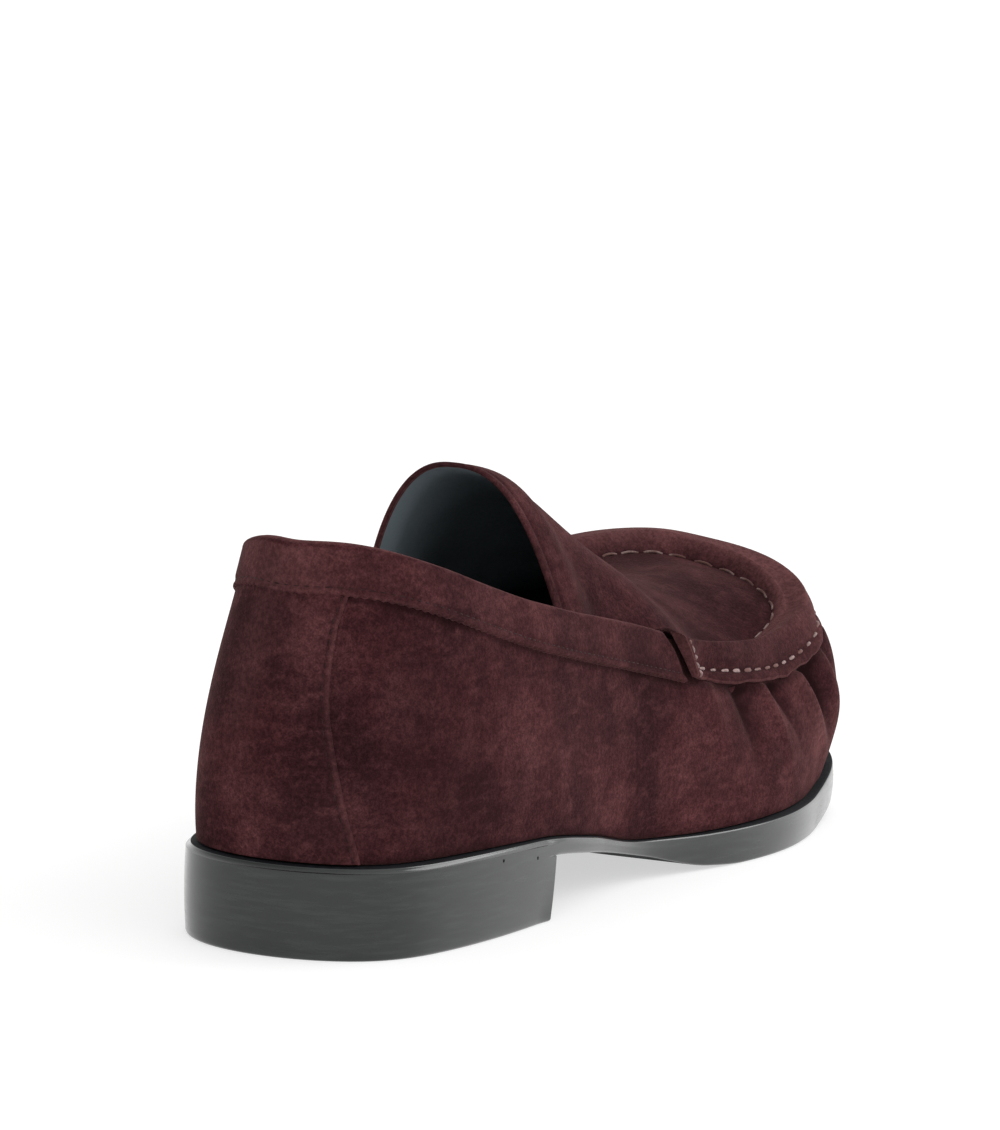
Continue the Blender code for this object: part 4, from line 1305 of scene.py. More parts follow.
def build_collar_band():
    """Binding folded over the top line, with a sewn channel near its lower edge."""
    sizes = bpy.context.scene.loafer_sizes
    wall = mm(sizes.wall)
    width = mm(sizes.band_width)
    thick = mm(sizes.band_thick)
    end = share(BAND_END_X)
    places = np.linspace(-end, end, BAND_STEPS)
    t = places[:, None]
    rise = top_line_wave(places)
    edge_top = width - BAND_EDGE_ROUND
    below = np.concatenate((
        width - BAND_EDGE_ROUND * (1.0 - np.cos(np.linspace(0.0, pi / 2.0, BAND_EDGE_ROWS))),
        np.linspace(edge_top, 0.0, BAND_FACE_ROWS)[1:],
    ))[None, :]
    face_rows = below.shape[1]
    into_edge = np.clip(below - edge_top, 0.0, BAND_EDGE_ROUND) / BAND_EDGE_ROUND
    body = np.sqrt(np.clip(1.0 - into_edge ** 2, 0.0, 1.0))
    channel = BAND_CHANNEL * bell(below - (width - BAND_SEAM_IN), BAND_CHANNEL_REACH)
    full = (GAP * (1.0 - BAND_BED) + thick) * body - channel
    out = GAP * BAND_BED + skive(t, below) * full + band_wave(t, below)
    run = np.concatenate(([0.0], np.cumsum(along_rate(places)[1:] * np.diff(places))))
    scallop = BAND_SCALLOP * np.cos(2.0 * pi * run / mm(sizes.fine_pitch))[:, None]
    scallop = scallop * (below / width) ** BAND_SCALLOP_POWER
    face = wall_point(t, below_rim(t, below + scallop), out)
    up = rim_up(places)
    side = wall_normal(places, 1.0)
    centre = wall_point(places, 1.0, -wall / 2.0)
    over_rim = (GAP + thick) * skive(places, 0.0)
    fold = []
    for turn in np.radians(np.linspace(BAND_FOLD_TURN, 180.0 - BAND_FOLD_TURN, BAND_FOLD_ROWS)):
        across = cos(turn) * (wall / 2.0 + over_rim)
        lift = sin(turn) * (over_rim + BAND_TOP_WAVE * rise)
        fold.append(centre + side * across[:, None] + up * lift[:, None])
    stations = (share(0.0), share(THROAT_X), share(THROAT_X + BAND_TURN_IN_REACH), 1.0)
    deep = mm(sizes.band_turn_in)
    turn_in = steady(stations, (deep, deep, BAND_TURN_IN_SHORT, BAND_TURN_IN_SHORT))
    inner_below = turn_in(np.abs(places))[:, None] * np.linspace(0.0, 1.0, BAND_INSIDE_ROWS)[None, :]
    inner_rows = below_rim(t, inner_below)
    inside = wall_point(t, inner_rows, -wall - GAP - BAND_INSIDE_THICK)
    inside_back = wall_point(t, inner_rows, -wall - HIDDEN_CLEAR)[:, ::-1]
    over = [wall_point(places, 1.0, o) + up * BAND_OVER_RIM for o in (-wall, 0.0)]
    back_below = np.linspace(BAND_BACK_TOP, width - BAND_BACK_FOOT, BAND_BACK_ROWS)[None, :]
    back = wall_point(t, below_rim(t, back_below), HIDDEN_CLEAR)
    section = np.concatenate((
        face, np.stack(fold, 1), inside, inside_back, np.stack(over, 1), back,
    ), 1)
    dip = bell(np.clip(behind_strip(t, below), 0.0, None), BAND_DIP)
    # Paler face; its lower edge and its fold paler with wear and painted sheen.
    worn = np.zeros(section.shape[:2])
    worn[:, :face_rows] = BAND_WEAR + along_shade(t, BAND_PAINTED_LIGHT)
    worn[:, :BAND_EDGE_ROWS - 1] = BAND_EDGE_WEAR_AND_SHEEN
    worn[:, face_rows + BAND_FOLD_MARGIN:face_rows + BAND_FOLD_ROWS - BAND_FOLD_MARGIN] = BAND_FOLD_WEAR_AND_SHEEN
    worn[:, :face_rows] *= 1.0 - dip
    # Painted shade in the sewn channel and on darker stretches, and painted shadow in the dip under the
    # strip.
    hollow = np.zeros(section.shape[:2])
    painted_band_shade = channel / channel.max() * BAND_CHANNEL_SHADE + along_shade(t, BAND_PAINTED_SHADE)
    hollow[:, :face_rows] = painted_band_shade * (1.0 - dip) + BAND_DIP_SHADE * dip
    piece = add_mesh(
        "collar_binding", section, capped_tube(BAND_STEPS, section.shape[1]),
        (suede_material(),), None, {"hollow": hollow, "worn": worn},
    )
    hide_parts("collar_band")


def border_width(t):
    """Width of the apron's border, narrower at its rear ends."""
    sizes = bpy.context.scene.loafer_sizes
    stations = (share(STRIP_END_X), share(STRIP_FULL_X), 1.0)
    return steady(stations, (mm(sizes.border_end), mm(sizes.border), mm(sizes.border)))(folded(t))


def build_apron_strip():
    """Raised and rounded strip over the lip of the apron, a U round the toe, sewn down along both edges."""
    wall = mm(bpy.context.scene.loafer_sizes.wall)
    half = wall / 2.0
    end = share(STRIP_END_X)
    places = np.linspace(end, 2.0 - end, STRIP_STEPS)
    lift = strip_lift(places)
    ragged = waves(places, EDGE_WAVES)
    face = []
    for k, point in enumerate(STRIP_FACE):
        moved = leaned(places, point.below)
        below = point.below + (ragged if k < STRIP_RAGGED_ROWS else 0.0)
        out = strip_face(places, point.out, point.end_out)
        face.append(wall_point(moved, below_rim(moved, below), out))
    top = leaned(places, 0.0)
    up = rim_up(top)
    roll = CREST_HEIGHT(signed(top))
    crest = wall_point(top, 1.0, -half) + up * (roll + lift)[:, None]
    far = arch_share(top, half + border_width(top), wall)
    seat = arch_point(top, far, wall)
    seat_normal = arch_normal(top, far, wall)
    inner_edge = seat + seat_normal * (half + STRIP_SEAT)
    border = []
    for point in BORDER:
        line = crest * (1.0 - point.along) + inner_edge * point.along
        line[:, 2] += point.lift * roll / FULL_CREST
        border.append(line)
    face_rows = rounded(np.stack(face + [crest] + border, 1), STRIP_SPAN_ROWS)
    near = arch_share(top, half + STRIP_BEDDED, wall)
    under = leaned(places, STRIP_UNDER)
    over_rim = up * (STRIP_OVER_RIM + lift)[:, None]
    hidden = [
        seat + seat_normal * (half - STRIP_SUNK),
        arch_point(top, near, wall) + arch_normal(top, near, wall) * (half + STRIP_BED_CLEAR),
        wall_point(top, 1.0, -wall - STRIP_BED_CLEAR) + over_rim,
        wall_point(top, 1.0, HIDDEN_CLEAR + lift) + over_rim,
        wall_point(under, below_rim(under, STRIP_UNDER), HIDDEN_CLEAR + lift),
    ]
    section = np.concatenate((face_rows, np.stack(hidden, 1)), 1)
    size = section.shape[1]
    row = np.arange(size)[None, :]
    face_size = face_rows.shape[1]
    seam_row = STRIP_SEAM * STRIP_SPAN_ROWS
    toe_row = len(STRIP_FACE) * STRIP_SPAN_ROWS + STRIP_TOE_ROW
    toe = smooth((folded(places) - STRIP_TOE_PLACE) / STRIP_TOE_EASE)[:, None]
    raw = near_strip_end(places, STRIP_RAW_REACH)[:, None]
    # Raw lower edge paler; painted light on the toe's border; rear ends raw-coloured and painted lighter.
    worn = np.zeros(section.shape[:2])
    worn[:, 1:2 * STRIP_SPAN_ROWS - 2] = STRIP_EDGE_WEAR
    worn += STRIP_TOE_LIGHT * toe * bell(row - toe_row, STRIP_TOE_ROWS)
    worn += along_shade(signed(places), STRIP_PAINTED_LIGHT)[:, None]
    worn[:, face_size:] = 0.0
    worn = np.maximum(worn, STRIP_RAW_PALE_AND_LIGHT * raw)
    # Painted shade at the outer seam, along the inner edge and on darker stretches; none on the raw ends.
    hollow = STRIP_SEAM_SHADE * bell(row - seam_row, STRIP_SEAM_ROWS)
    hollow = hollow + STRIP_INNER_SHADE * bell(row - face_size, STRIP_INNER_ROWS)
    hollow = (hollow + along_shade(signed(places), STRIP_PAINTED_SHADE)[:, None]) * (1.0 - raw)
    piece = add_mesh(
        "apron_border", section, capped_tube(STRIP_STEPS, size),
        (suede_material(),), None, {"hollow": hollow, "worn": worn},
    )
    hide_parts("apron_strip")


def build_back_counter():
    """Panel over the back of the heel with skived, sewn edges."""
    sizes = bpy.context.scene.loafer_sizes
    thick = mm(sizes.counter_thick)
    k = np.linspace(0.0, 1.0, COUNTER_ROWS)[:, None]
    eased = (1.0 - np.cos(np.linspace(0.0, pi, COUNTER_COLUMNS))) / 2.0
    first = -SEAM_LATERAL(k)
    last = SEAM_MEDIAL(k)
    places = first + (last - first) * eased[None, :]
    heights = k * below_rim(places, mm(sizes.band_width) - COUNTER_UNDER_BAND)
    rate = along_rate(places)
    from_edge = np.minimum((places - first) * rate, (last - places) * rate)
    body = np.sqrt(1.0 - (1.0 - np.clip(from_edge / COUNTER_EDGE_ROUND, 0.0, 1.0)) ** 2)
    channel = COUNTER_CHANNEL * bell(from_edge - COUNTER_SEAM_IN, COUNTER_CHANNEL_REACH)
    ripple = wall_ripple(places, heights, COUNTER_DRIFT)
    out = HIDDEN_CLEAR + (GAP + thick - HIDDEN_CLEAR) * body - channel + ripple
    face = wall_point(places, heights, out)
    back = wall_point(places, heights, np.minimum(ripple, 0.0) - HIDDEN_CLEAR)[:, ::-1]
    section = np.concatenate((face, back), 1)
    # Edge paler with wear and a painted highlight, and lighter patches of nap and painted light.
    worn = np.zeros(section.shape[:2])
    worn[:, :COUNTER_COLUMNS] = COUNTER_EDGE_WEAR_AND_LIGHT * bell(from_edge - COUNTER_EDGE_LIGHT_IN, COUNTER_EDGE_LIGHT_REACH)
    worn[:, :COUNTER_COLUMNS] += nap_shade(places, heights, NAP_AND_LIGHT_PATCHES)
    # Painted shade in the sewn channel and on darker patches.
    hollow = np.zeros(section.shape[:2])
    hollow[:, :COUNTER_COLUMNS] = COUNTER_CHANNEL_SHADE * channel + nap_shade(places, heights, NAP_AND_SHADE_PATCHES)
    piece = add_mesh(
        "counter_panel", section, capped_tube(COUNTER_ROWS, section.shape[1]),
        (suede_material(),), None, {"hollow": hollow, "worn": worn},
    )
    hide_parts("back_counter")


def slab_faces(count, rows, closed):
    """Faces of a slab from profiles round its edge, whose first and last rows are filled straight across."""
    faces = tube_faces(count, rows, closed, False).tolist()
    half = count // 2
    first = 1 if closed else 0
    for row in (0, rows - 1):
        for i in range(first, half - first):
            mate = count - i if closed else count - 1 - i
            ring = (i, i + 1, mate) if i + 1 == mate - 1 else (i, i + 1, mate - 1, mate)
            faces.append(tuple(place * rows + row for place in ring))
        if closed:
            faces.append((row, rows + row, (count - 1) * rows + row))
            faces.append(((half - 1) * rows + row, half * rows + row, (half + 1) * rows + row))
    if not closed:
        last = (count - 1) * rows
        faces.extend((k, k + 1, last + k + 1, last + k) for k in range(rows - 1))
    return faces


def heel_curve(down):
    """How the edge of sole and heel draws in from its fullest line, by share of the way down the stack."""
    return ((down - HEEL_FULLEST) / (1.0 - HEEL_FULLEST)) ** 2


def heel_inset(x, amount):
    """How far sole and heel are drawn in at station x: a share of the swell, none past the breast."""
    return HEEL_SWELL * (1.0 - smooth((x - BREAST_X + HEEL_FADE / 2.0) / HEEL_FADE)) * amount


def build_outsole():
    """Sole board with eased edges: a waxed side between a dull top and bottom."""
    ease = mm(bpy.context.scene.loafer_sizes.sole_ease)
    places = np.linspace(-1.0, 1.0, SOLE_STEPS + 1)[:-1]
    x = sole_edge(places)[:, 0]
    top = SOLE_TOP(x)
    bottom = SOLE_BOTTOM(x)
    low_ease = ease * smooth((x - BREAST_X + BREAST_FADE / 2.0) / BREAST_FADE)
    swell = SOLE_SWELL * smooth((x - BREAST_X) / SOLE_SWELL_REACH)
    rows = []
    for angle in SOLE_CORNER:
        rows.append((ease * (1.0 - sin(angle)) + heel_inset(x, 1.0), top - ease * (1.0 - cos(angle))))
    for level in SOLE_LEVELS:
        z = (top - ease) * (1.0 - level) + (bottom + low_ease) * level
        rows.append((heel_inset(x, heel_curve(level * SOLE_SHARE)) - swell * sin(pi * level), z))
    for angle in SOLE_CORNER[::-1]:
        low = low_ease * (1.0 - sin(angle)) + heel_inset(x, heel_curve(SOLE_SHARE))
        rows.append((low, bottom + low_ease * (1.0 - cos(angle))))
    inner = inset_edge(places, SOLE_DEEP)
    points = [np.column_stack((inner, SOLE_TOP(inner[:, 0])))]
    points += [np.column_stack((inset_edge(places, inset), z)) for inset, z in rows]
    points.append(np.column_stack((inner, SOLE_BOTTOM(inner[:, 0]))))
    section = np.stack(points, 1)
    count = section.shape[1]
    faces = slab_faces(SOLE_STEPS, count, True)
    slots = np.ones(len(faces), int)
    k = np.tile(np.arange(count - 1), SOLE_STEPS)
    slots[:len(k)] = (k < SOLE_DULL_ROWS) | (k >= count - SOLE_DULL_ROWS)
    piece = add_mesh("sole_board", section, faces, (sole_edge_material(), sole_top_material()), slots)
    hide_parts("outsole")


def build_heel():
    """Heel block flush with the sole's edge, drawn in a little towards the floor."""
    end = share(BREAST_X)
    places = np.linspace(-end, end, HEEL_STEPS)
    x = sole_edge(places)[:, 0]
    top = SOLE_BOTTOM(x)
    deep = HEEL_DEEP * np.clip((1.0 - np.abs(places) / end) / HEEL_DEEP_FADE, 0.0, 1.0)
    low = heel_inset(x, heel_curve(1.0))
    rows = [(deep, 0.0)]
    for level in HEEL_LEVELS:
        rows.append((heel_inset(x, heel_curve(SOLE_SHARE + (1.0 - SOLE_SHARE) * level)), level))
    rows.append((low + HEEL_EASE_SHARE * HEEL_EASE, HEEL_EASE_LEVEL))
    rows.append((low + HEEL_EASE, 1.0))
    rows.append((deep + low + HEEL_EASE, 1.0))
    points = []
    for inset, level in rows:
        plan = inset_edge(places, inset)
        plan[:, 0] -= BREAST_SLANT * x / BREAST_X * level
        points.append(np.column_stack((plan, top * (1.0 - level))))
    section = np.stack(points, 1)
    faces = slab_faces(HEEL_STEPS, section.shape[1], False)
    piece = add_mesh("heel_block", section, faces, (sole_edge_material(),))
    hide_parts("heel")


def build_nails():
    """Heads of the two fine nails in the sole's edge above the heel, sunk and rounded."""
    points = []
    faces = []
    upright = np.array((0.0, 0.0, 1.0))
    for x, down in NAILS:
        place = np.array(-share(x))
        sunk = HEEL_SWELL * heel_curve(down / SOLE_TOP(x))
        plan = inset_edge(place, sunk - NAIL_PROUD)
        level = np.append(outward(place), 0.0)
        middle = np.array((plan[0], plan[1], SOLE_TOP(x) - down))
        side = np.cross(upright, level)
        start = len(points)
        for radius, out in NAIL_RINGS:
            for turn in np.linspace(0.0, 2.0 * pi, NAIL_SIDES, endpoint=False):
                around = side * cos(turn) + upright * sin(turn)
                points.append(middle + around * radius * NAIL_RADIUS + level * out)
        for ring in range(len(NAIL_RINGS) - 1):
            for k in range(NAIL_SIDES):
                a = start + ring * NAIL_SIDES + k
                b = start + ring * NAIL_SIDES + (k + 1) % NAIL_SIDES
                faces.append((a, b, b + NAIL_SIDES, a + NAIL_SIDES))
        faces.append(tuple(len(points) - NAIL_SIDES + k for k in range(NAIL_SIDES)))
        faces.append(tuple(start + k for k in range(NAIL_SIDES)))
    piece = add_mesh("sole_nails", points, faces, (sole_top_material(),))


def build_insole():
    """Sock over the insole board, rounded down at its edge."""
    wall = mm(bpy.context.scene.loafer_sizes.wall)
    places = np.linspace(-1.0, 1.0, INSOLE_STEPS + 1)[:-1]
    clear = WELT_WIDTH(folded(places)) + wall + INSOLE_CLEARANCE
    points = []
    for extra, lift in INSOLE_EDGE:
        plan = inset_edge(places, clear + extra)
        points.append(np.column_stack((plan, SOLE_TOP(plan[:, 0]) + GAP + INSOLE_THICK * lift)))
    section = np.stack(points, 1)
    faces = slab_faces(INSOLE_STEPS, section.shape[1], True)
    piece = add_mesh("insole_sock", section, faces, (lining_material(),))
    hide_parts("insole")


def stitch_tree():
    """Geometry nodes that lay arched stitches along a line, each turned to the surface under it."""
    tree = bpy.data.node_groups.get("stitch_row")
    if tree is not None:
        return tree
    tree = bpy.data.node_groups.new("stitch_row", "GeometryNodeTree")
    face = tree.interface
    face.new_socket("Geometry", in_out="INPUT", socket_type="NodeSocketGeometry")
    for name in ("Pitch", "Stitch length", "Thread radius", "Rise", "Uneven"):
        face.new_socket(name, in_out="INPUT", socket_type="NodeSocketFloat")
    face.new_socket("Seed", in_out="INPUT", socket_type="NodeSocketInt")
    face.new_socket("Thread", in_out="INPUT", socket_type="NodeSocketMaterial")
    face.new_socket("Geometry", in_out="OUTPUT", socket_type="NodeSocketGeometry")
    link = tree.links.new
    entry = node(tree, "NodeGroupInput")
    leave = node(tree, "NodeGroupOutput")
    line = node(tree, "GeometryNodeMeshToCurve")
    spaced = node(tree, "GeometryNodeResampleCurve", mode="LENGTH")
    link(entry.outputs["Geometry"], line.inputs["Mesh"])
    link(line.outputs["Curve"], spaced.inputs["Curve"])
    link(entry.outputs["Pitch"], spaced.inputs["Length"])

    def times(name, factor):
        made = node(tree, "ShaderNodeMath", {1: factor}, operation="MULTIPLY")
        link(entry.outputs[name], made.inputs[0])
        return made

    sunk = times("Thread radius", STITCH_SUNK)
    risen = times("Thread radius", 1.0)
    link(entry.outputs["Rise"], risen.inputs[1])
    arch = node(tree, "GeometryNodeCurveQuadraticBezier", {"Resolution": STITCH_SIDES})
    for socket, along in (("Start", -0.5), ("End", 0.5)):
        point = node(tree, "ShaderNodeCombineXYZ")
        link(times("Stitch length", along).outputs[0], point.inputs["X"])
        link(sunk.outputs[0], point.inputs["Z"])
        link(point.outputs[0], arch.inputs[socket])
    top = node(tree, "ShaderNodeCombineXYZ")
    link(risen.outputs[0], top.inputs["Z"])
    link(top.outputs[0], arch.inputs["Middle"])
    ring = node(tree, "GeometryNodeCurvePrimitiveCircle", {"Resolution": STITCH_SIDES})
    link(entry.outputs["Thread radius"], ring.inputs["Radius"])
    stitch = node(tree, "GeometryNodeCurveToMesh", {"Fill Caps": True})
    link(arch.outputs["Curve"], stitch.inputs["Curve"])
    link(ring.outputs["Curve"], stitch.inputs["Profile Curve"])
    tangent = node(tree, "GeometryNodeInputTangent")
    surface = node(tree, "GeometryNodeInputNamedAttribute", {"Name": "surface"}, data_type="FLOAT_VECTOR")
    turn = node(tree, "FunctionNodeAxesToRotation", primary_axis="X", secondary_axis="Z")
    link(tangent.outputs["Tangent"], turn.inputs["Primary Axis"])
    link(surface.outputs["Attribute"], turn.inputs["Secondary Axis"])
    vary = node(tree, "FunctionNodeRandomValue", data_type="FLOAT_VECTOR")
    for limit, operation in (("Min", "SUBTRACT"), ("Max", "ADD")):
        bound = node(tree, "ShaderNodeMath", {0: 1.0}, operation=operation)
        link(entry.outputs["Uneven"], bound.inputs[1])
        link(bound.outputs[0], vary.inputs[limit])
    link(entry.outputs["Seed"], vary.inputs["Seed"])
    laid = node(tree, "GeometryNodeInstanceOnPoints")
    link(spaced.outputs["Curve"], laid.inputs["Points"])
    link(stitch.outputs["Mesh"], laid.inputs["Instance"])
    link(turn.outputs["Rotation"], laid.inputs["Rotation"])
    link(vary.outputs["Value"], laid.inputs["Scale"])
    real = node(tree, "GeometryNodeRealizeInstances")
    link(laid.outputs["Instances"], real.inputs["Geometry"])
    soft = node(tree, "GeometryNodeSetShadeSmooth")
    link(real.outputs["Geometry"], soft.inputs["Geometry"])
    dyed = node(tree, "GeometryNodeSetMaterial")
    link(soft.outputs["Geometry"], dyed.inputs["Geometry"])
    link(entry.outputs["Thread"], dyed.inputs["Material"])
    link(dyed.outputs["Geometry"], leave.inputs["Geometry"])
    return tree


# A way of sewing: pitch, stitch length and thread radius in metres, how many radii a stitch rises, how
# uneven the stitches are, and the thread's material.
Sewing = namedtuple("Sewing", "pitch length radius rise uneven thread")


def stitch_row(name, points, normals, sewing, seed):
    """A row of stitches along points in millimetres, as one plain mesh."""
    mesh = bpy.data.meshes.new(name + "_line")
    placed = (np.asarray(points) + SHIFT) * MM
    mesh.from_pydata(placed.tolist(), [(i, i + 1) for i in range(len(placed) - 1)], [])
    layer = mesh.attributes.new("surface", "FLOAT_VECTOR", "POINT")
    layer.data.foreach_set("vector", np.asarray(normals, np.float32).ravel())
    piece = bpy.data.objects.new(name, mesh)
    bpy.context.scene.collection.objects.link(piece)
    tree = stitch_tree()
    values = {
        "Pitch": sewing.pitch, "Stitch length": sewing.length, "Thread radius": sewing.radius,
        "Rise": sewing.rise, "Uneven": sewing.uneven, "Seed": seed, "Thread": sewing.thread,
    }
    modifier = piece.modifiers.new("stitches", "NODES")
    modifier.node_group = tree
    for item in tree.interface.items_tree:
        if item.in_out == "INPUT" and item.name in values:
            modifier[item.identifier] = values[item.name]
    graph = bpy.context.evaluated_depsgraph_get()
    sewn = bpy.data.meshes.new_from_object(piece.evaluated_get(graph), depsgraph=graph)
    piece.modifiers.remove(modifier)
    piece.data = sewn
    if not sewn.polygons:
        raise RuntimeError("no stitches were laid along " + name)
    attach(piece, BODY)
    return piece


def sew_apron():
    """The apron's two light seams, and the tacks across the strip's rear ends."""
    sizes = bpy.context.scene.loafer_sizes
    finish = bpy.context.scene.loafer_finish
    wall = mm(sizes.wall)
    light = thread_material("light_thread", finish.thread)
    dull = thread_material("dull_thread", finish.thread_dull)
    dashes = Sewing(
        sizes.seam_pitch, sizes.seam_stitch, sizes.inner_thread, rise=1.5, uneven=0.12, thread=dull,
    )
    dots = Sewing(
        sizes.seam_pitch, sizes.seam_dot, sizes.outer_thread, rise=1.9, uneven=0.26, thread=light,
    )
    tack = Sewing(
        sizes.tack_pitch, sizes.tack_stitch, sizes.inner_thread, rise=1.7, uneven=0.25, thread=light,
    )
    end = share(STRIP_END_X + SEAM_START)
    places = np.linspace(end, 2.0 - end, APRON_SEAM_POINTS)
    moved = leaned(places, STRIP_SEAM_BELOW)
    height = below_rim(moved, STRIP_SEAM_BELOW)
    seam = STRIP_FACE[STRIP_SEAM]
    outer = wall_point(moved, height, strip_face(places, seam.out, seam.end_out) + OUTER_SEAM_LIFT)
    stitch_row("apron_outer_seam", outer, wall_normal(moved, height), dots, seed=3)
    moved = leaned(places, 0.0)
    far = arch_share(moved, wall / 2.0 + border_width(moved), wall)
    lift = arch_normal(moved, far, wall)
    inner = arch_point(moved, far, wall) + lift * (wall / 2.0 + INNER_SEAM_LIFT)
    stitch_row("apron_inner_seam", inner, lift, dashes, seed=7)
    rows = sorted(STRIP_FACE)[TACK_ROWS]
    below = column(rows, "below")
    for side, sign in (("lateral", -1.0), ("medial", 1.0)):
        end = sign * share(STRIP_END_X + TACK_IN)
        moved = leaned(np.full(len(rows), end), below)
        height = below_rim(moved, below)
        row = wall_point(moved, height, strip_face(end, column(rows, "out"), column(rows, "end_out")))
        stitch_row("strip_tack_" + side, row, wall_normal(moved, height), tack, seed=5)


def sew_quarters():
    """The fine seams of binding and counter."""
    sizes = bpy.context.scene.loafer_sizes
    tonal = thread_material("tonal_thread", bpy.context.scene.loafer_finish.thread_fine)
    fine = Sewing(
        sizes.fine_pitch, sizes.fine_stitch, sizes.fine_thread, rise=1.4, uneven=0.22, thread=tonal,
    )
    width = mm(sizes.band_width)
    end = share(STRIP_END_X - BAND_SKIVE - BAND_SEAM_END)
    places = np.linspace(-end, end, BAND_SEAM_POINTS)
    below = width - BAND_SEAM_IN
    height = below_rim(places, below)
    sunk = GAP + mm(sizes.band_thick) - BAND_SEAM_SUNK
    row = wall_point(places, height, sunk + band_wave(places, below))
    stitch_row("binding_seam", row, wall_normal(places, height), fine, seed=11)
    k = np.linspace(*COUNTER_SEWN, COUNTER_SEAM_POINTS)
    sunk = GAP + mm(sizes.counter_thick) - COUNTER_CHANNEL
    for side, sign, seam in (("lateral", -1.0, SEAM_LATERAL), ("medial", 1.0, SEAM_MEDIAL)):
        edge = sign * seam(k)
        places = edge - sign * COUNTER_SEAM_IN / along_rate(edge)
        height = k * below_rim(places, width - COUNTER_UNDER_BAND)
        row = wall_point(places, height, sunk + wall_ripple(places, height, COUNTER_DRIFT))
        stitch_row("counter_seam_" + side, row, wall_normal(places, height), fine, seed=13)


def build_stitches():
    """All seams that show."""
    sew_apron()
    sew_quarters()


def area_light(name, lamp, power):
    """A soft square light aimed at a point."""
    data = bpy.data.lights.new(name, "AREA")
    data.shape = "SQUARE"
    data.size = lamp.size
    data.energy = power
    light = bpy.data.objects.new(name, data)
    light.location = lamp.place
    light.rotation_euler = (Vector(lamp.aim) - Vector(lamp.place)).to_track_quat("-Z", "Y").to_euler()
    bpy.context.scene.collection.objects.link(light)
    return light


def build_floor(stage):
    """A wide pale floor, faintly mottled."""
    material, tree, shader = new_material("pale_floor", {
        "Specular IOR Level": 0.1, "Roughness": 0.9, "Emission Color": (1.0, 1.0, 1.0, 1.0),
        "Emission Strength": stage.glow,
    })
    if tree is not None:
        cloud = noise(tree, placed_coords(tree), scale=3.0, detail=2.0)
        colour = tuple(stage.floor)
        tree.links.new(mix(tree, cloud, tinted(colour, 0.99), colour), shader.inputs["Base Color"])
    mesh = bpy.data.meshes.new("floor")
    corners = ((-1.0, -1.0), (1.0, -1.0), (1.0, 1.0), (-1.0, 1.0))
    mesh.from_pydata([(FLOOR_REACH * x, FLOOR_REACH * y, 0.0) for x, y in corners], [], [(0, 1, 2, 3)])
    mesh.materials.append(material)
    floor = bpy.data.objects.new("floor", mesh)
    bpy.context.scene.collection.objects.link(floor)


def build_sky(stage):
    """White light all round, dimmer behind the heel."""
    world = bpy.data.worlds.new("studio")
    world.use_nodes = True
    tree = world.node_tree
    sky = tree.nodes["Background"]
    sky.inputs["Color"].default_value = (1.0, 1.0, 1.0, 1.0)
    toward = node(tree, "ShaderNodeVectorMath", {1: BRIGHT_SIDE}, operation="DOT_PRODUCT")
    tree.links.new(node(tree, "ShaderNodeTexCoord").outputs["Generated"], toward.inputs[0])
    dim = stage.sky * stage.shade
    strength = remap(tree, toward.outputs["Value"], DIM_SIDE, FULL_SIDE, dim, stage.sky)
    tree.links.new(strength, sky.inputs["Strength"])
    bpy.context.scene.world = world


def build_camera():
    """The camera at the photograph's viewing angle."""
    turn = radians(VIEW_TURN)
    down = radians(VIEW_DOWN)
    roll = radians(VIEW_ROLL)
    ahead = Vector((cos(turn) * cos(down), sin(turn) * cos(down), -sin(down)))
    level = Vector((sin(turn), -cos(turn), 0.0))
    upright = level.cross(ahead)
    right = level * cos(roll) + upright * sin(roll)
    up = upright * cos(roll) - level * sin(roll)
    aim = Vector((np.array(VIEW_AIM) + SHIFT) * MM)
    data = bpy.data.cameras.new("photo_camera")
    data.lens = VIEW_LENS
    data.sensor_width = SENSOR
    camera = bpy.data.objects.new("photo_camera", data)
    turned = Matrix((right, up, -ahead)).transposed().to_4x4()
    camera.matrix_world = Matrix.Translation(aim - ahead * VIEW_DISTANCE * MM) @ turned
    bpy.context.scene.collection.objects.link(camera)
    bpy.context.scene.camera = camera


class LOAFER_OT_upper(bpy.types.Operator):
    """Build the upper's wall, plug and tongue with their lining"""

    bl_idname = "loafer.upper"
    bl_label = "Upper"

    def execute(self, context):
        build_wall()
        build_plug()
        return {"FINISHED"}


class LOAFER_OT_binding(bpy.types.Operator):
    """Build the binding round the top line"""

    bl_idname = "loafer.binding"
    bl_label = "Collar binding"

    def execute(self, context):
        build_collar_band()
        return {"FINISHED"}


class LOAFER_OT_apron(bpy.types.Operator):
    """Build the raised border of the apron"""

    bl_idname = "loafer.apron"
    bl_label = "Apron border"

    def execute(self, context):
        build_apron_strip()
        return {"FINISHED"}


class LOAFER_OT_counter(bpy.types.Operator):
    """Build the back counter's panel"""

    bl_idname = "loafer.counter"
    bl_label = "Back counter"

    def execute(self, context):
        build_back_counter()
        return {"FINISHED"}


class LOAFER_OT_sole(bpy.types.Operator):
    """Build the sole, the heel and the insole"""

    bl_idname = "loafer.sole"
    bl_label = "Sole and heel"

    def execute(self, context):
        build_outsole()
        build_heel()
        build_nails()
        build_insole()
        return {"FINISHED"}


class LOAFER_OT_stitches(bpy.types.Operator):
    """Sew the seams of apron, binding and counter"""

    bl_idname = "loafer.stitches"
    bl_label = "Stitches"

    def execute(self, context):
        build_stitches()
        return {"FINISHED"}


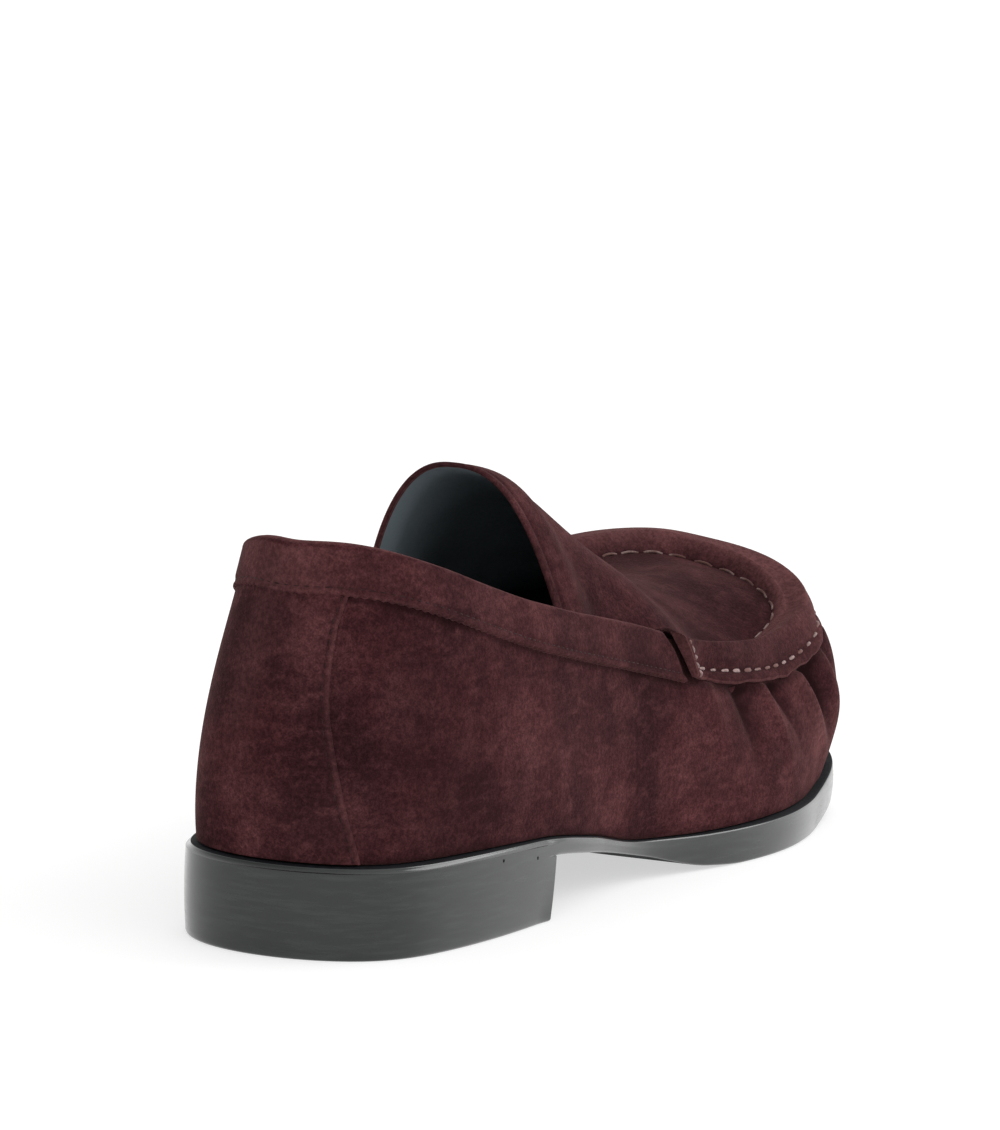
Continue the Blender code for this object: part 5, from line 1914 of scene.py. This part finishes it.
class LOAFER_OT_stage(bpy.types.Operator):
    """Set up the floor, the light and the camera"""

    bl_idname = "loafer.stage"
    bl_label = "Stage"

    def execute(self, context):
        stage = context.scene.loafer_stage
        build_floor(stage)
        build_sky(stage)
        area_light("key_light", KEY_LAMP, stage.key)
        fill = area_light("fill_light", FILL_LAMP, stage.fill)
        fill.visible_glossy = False
        context.scene.view_settings.view_transform = "Standard"
        build_camera()
        return {"FINISHED"}


class LOAFER_PT_panel(bpy.types.Panel):
    """Lists the loafer's sizes, colours and building steps"""

    bl_idname = "LOAFER_PT_panel"
    bl_label = "Suede loafer"
    bl_space_type = "VIEW_3D"
    bl_region_type = "UI"
    bl_category = "Loafer"

    def draw(self, context):
        scene = context.scene
        for group in (scene.loafer_sizes, scene.loafer_finish, scene.loafer_stage):
            box = self.layout.box()
            for name in group.__annotations__:
                box.prop(group, name)
        for operator in OPERATORS:
            self.layout.operator(operator.bl_idname)


GROUPS = {"loafer_sizes": LoaferSizes, "loafer_finish": LoaferFinish, "loafer_stage": LoaferStage}
OPERATORS = (
    LOAFER_OT_upper, LOAFER_OT_binding, LOAFER_OT_apron, LOAFER_OT_counter, LOAFER_OT_sole,
    LOAFER_OT_stitches, LOAFER_OT_stage,
)


def register():
    """Adds the property groups, the operators and the panel."""
    for name, group in GROUPS.items():
        bpy.utils.register_class(group)
        setattr(bpy.types.Scene, name, bpy.props.PointerProperty(type=group))
    for operator in OPERATORS:
        bpy.utils.register_class(operator)
    bpy.utils.register_class(LOAFER_PT_panel)


def unregister():
    """Takes them away again."""
    bpy.utils.unregister_class(LOAFER_PT_panel)
    for operator in reversed(OPERATORS):
        bpy.utils.unregister_class(operator)
    for name, group in GROUPS.items():
        delattr(bpy.types.Scene, name)
        bpy.utils.unregister_class(group)


def main():
    register()
    bpy.ops.loafer.upper()
    bpy.ops.loafer.binding()
    bpy.ops.loafer.apron()
    bpy.ops.loafer.counter()
    bpy.ops.loafer.sole()
    bpy.ops.loafer.stitches()
    bpy.ops.loafer.stage()


if __name__ == "__main__":
    main()
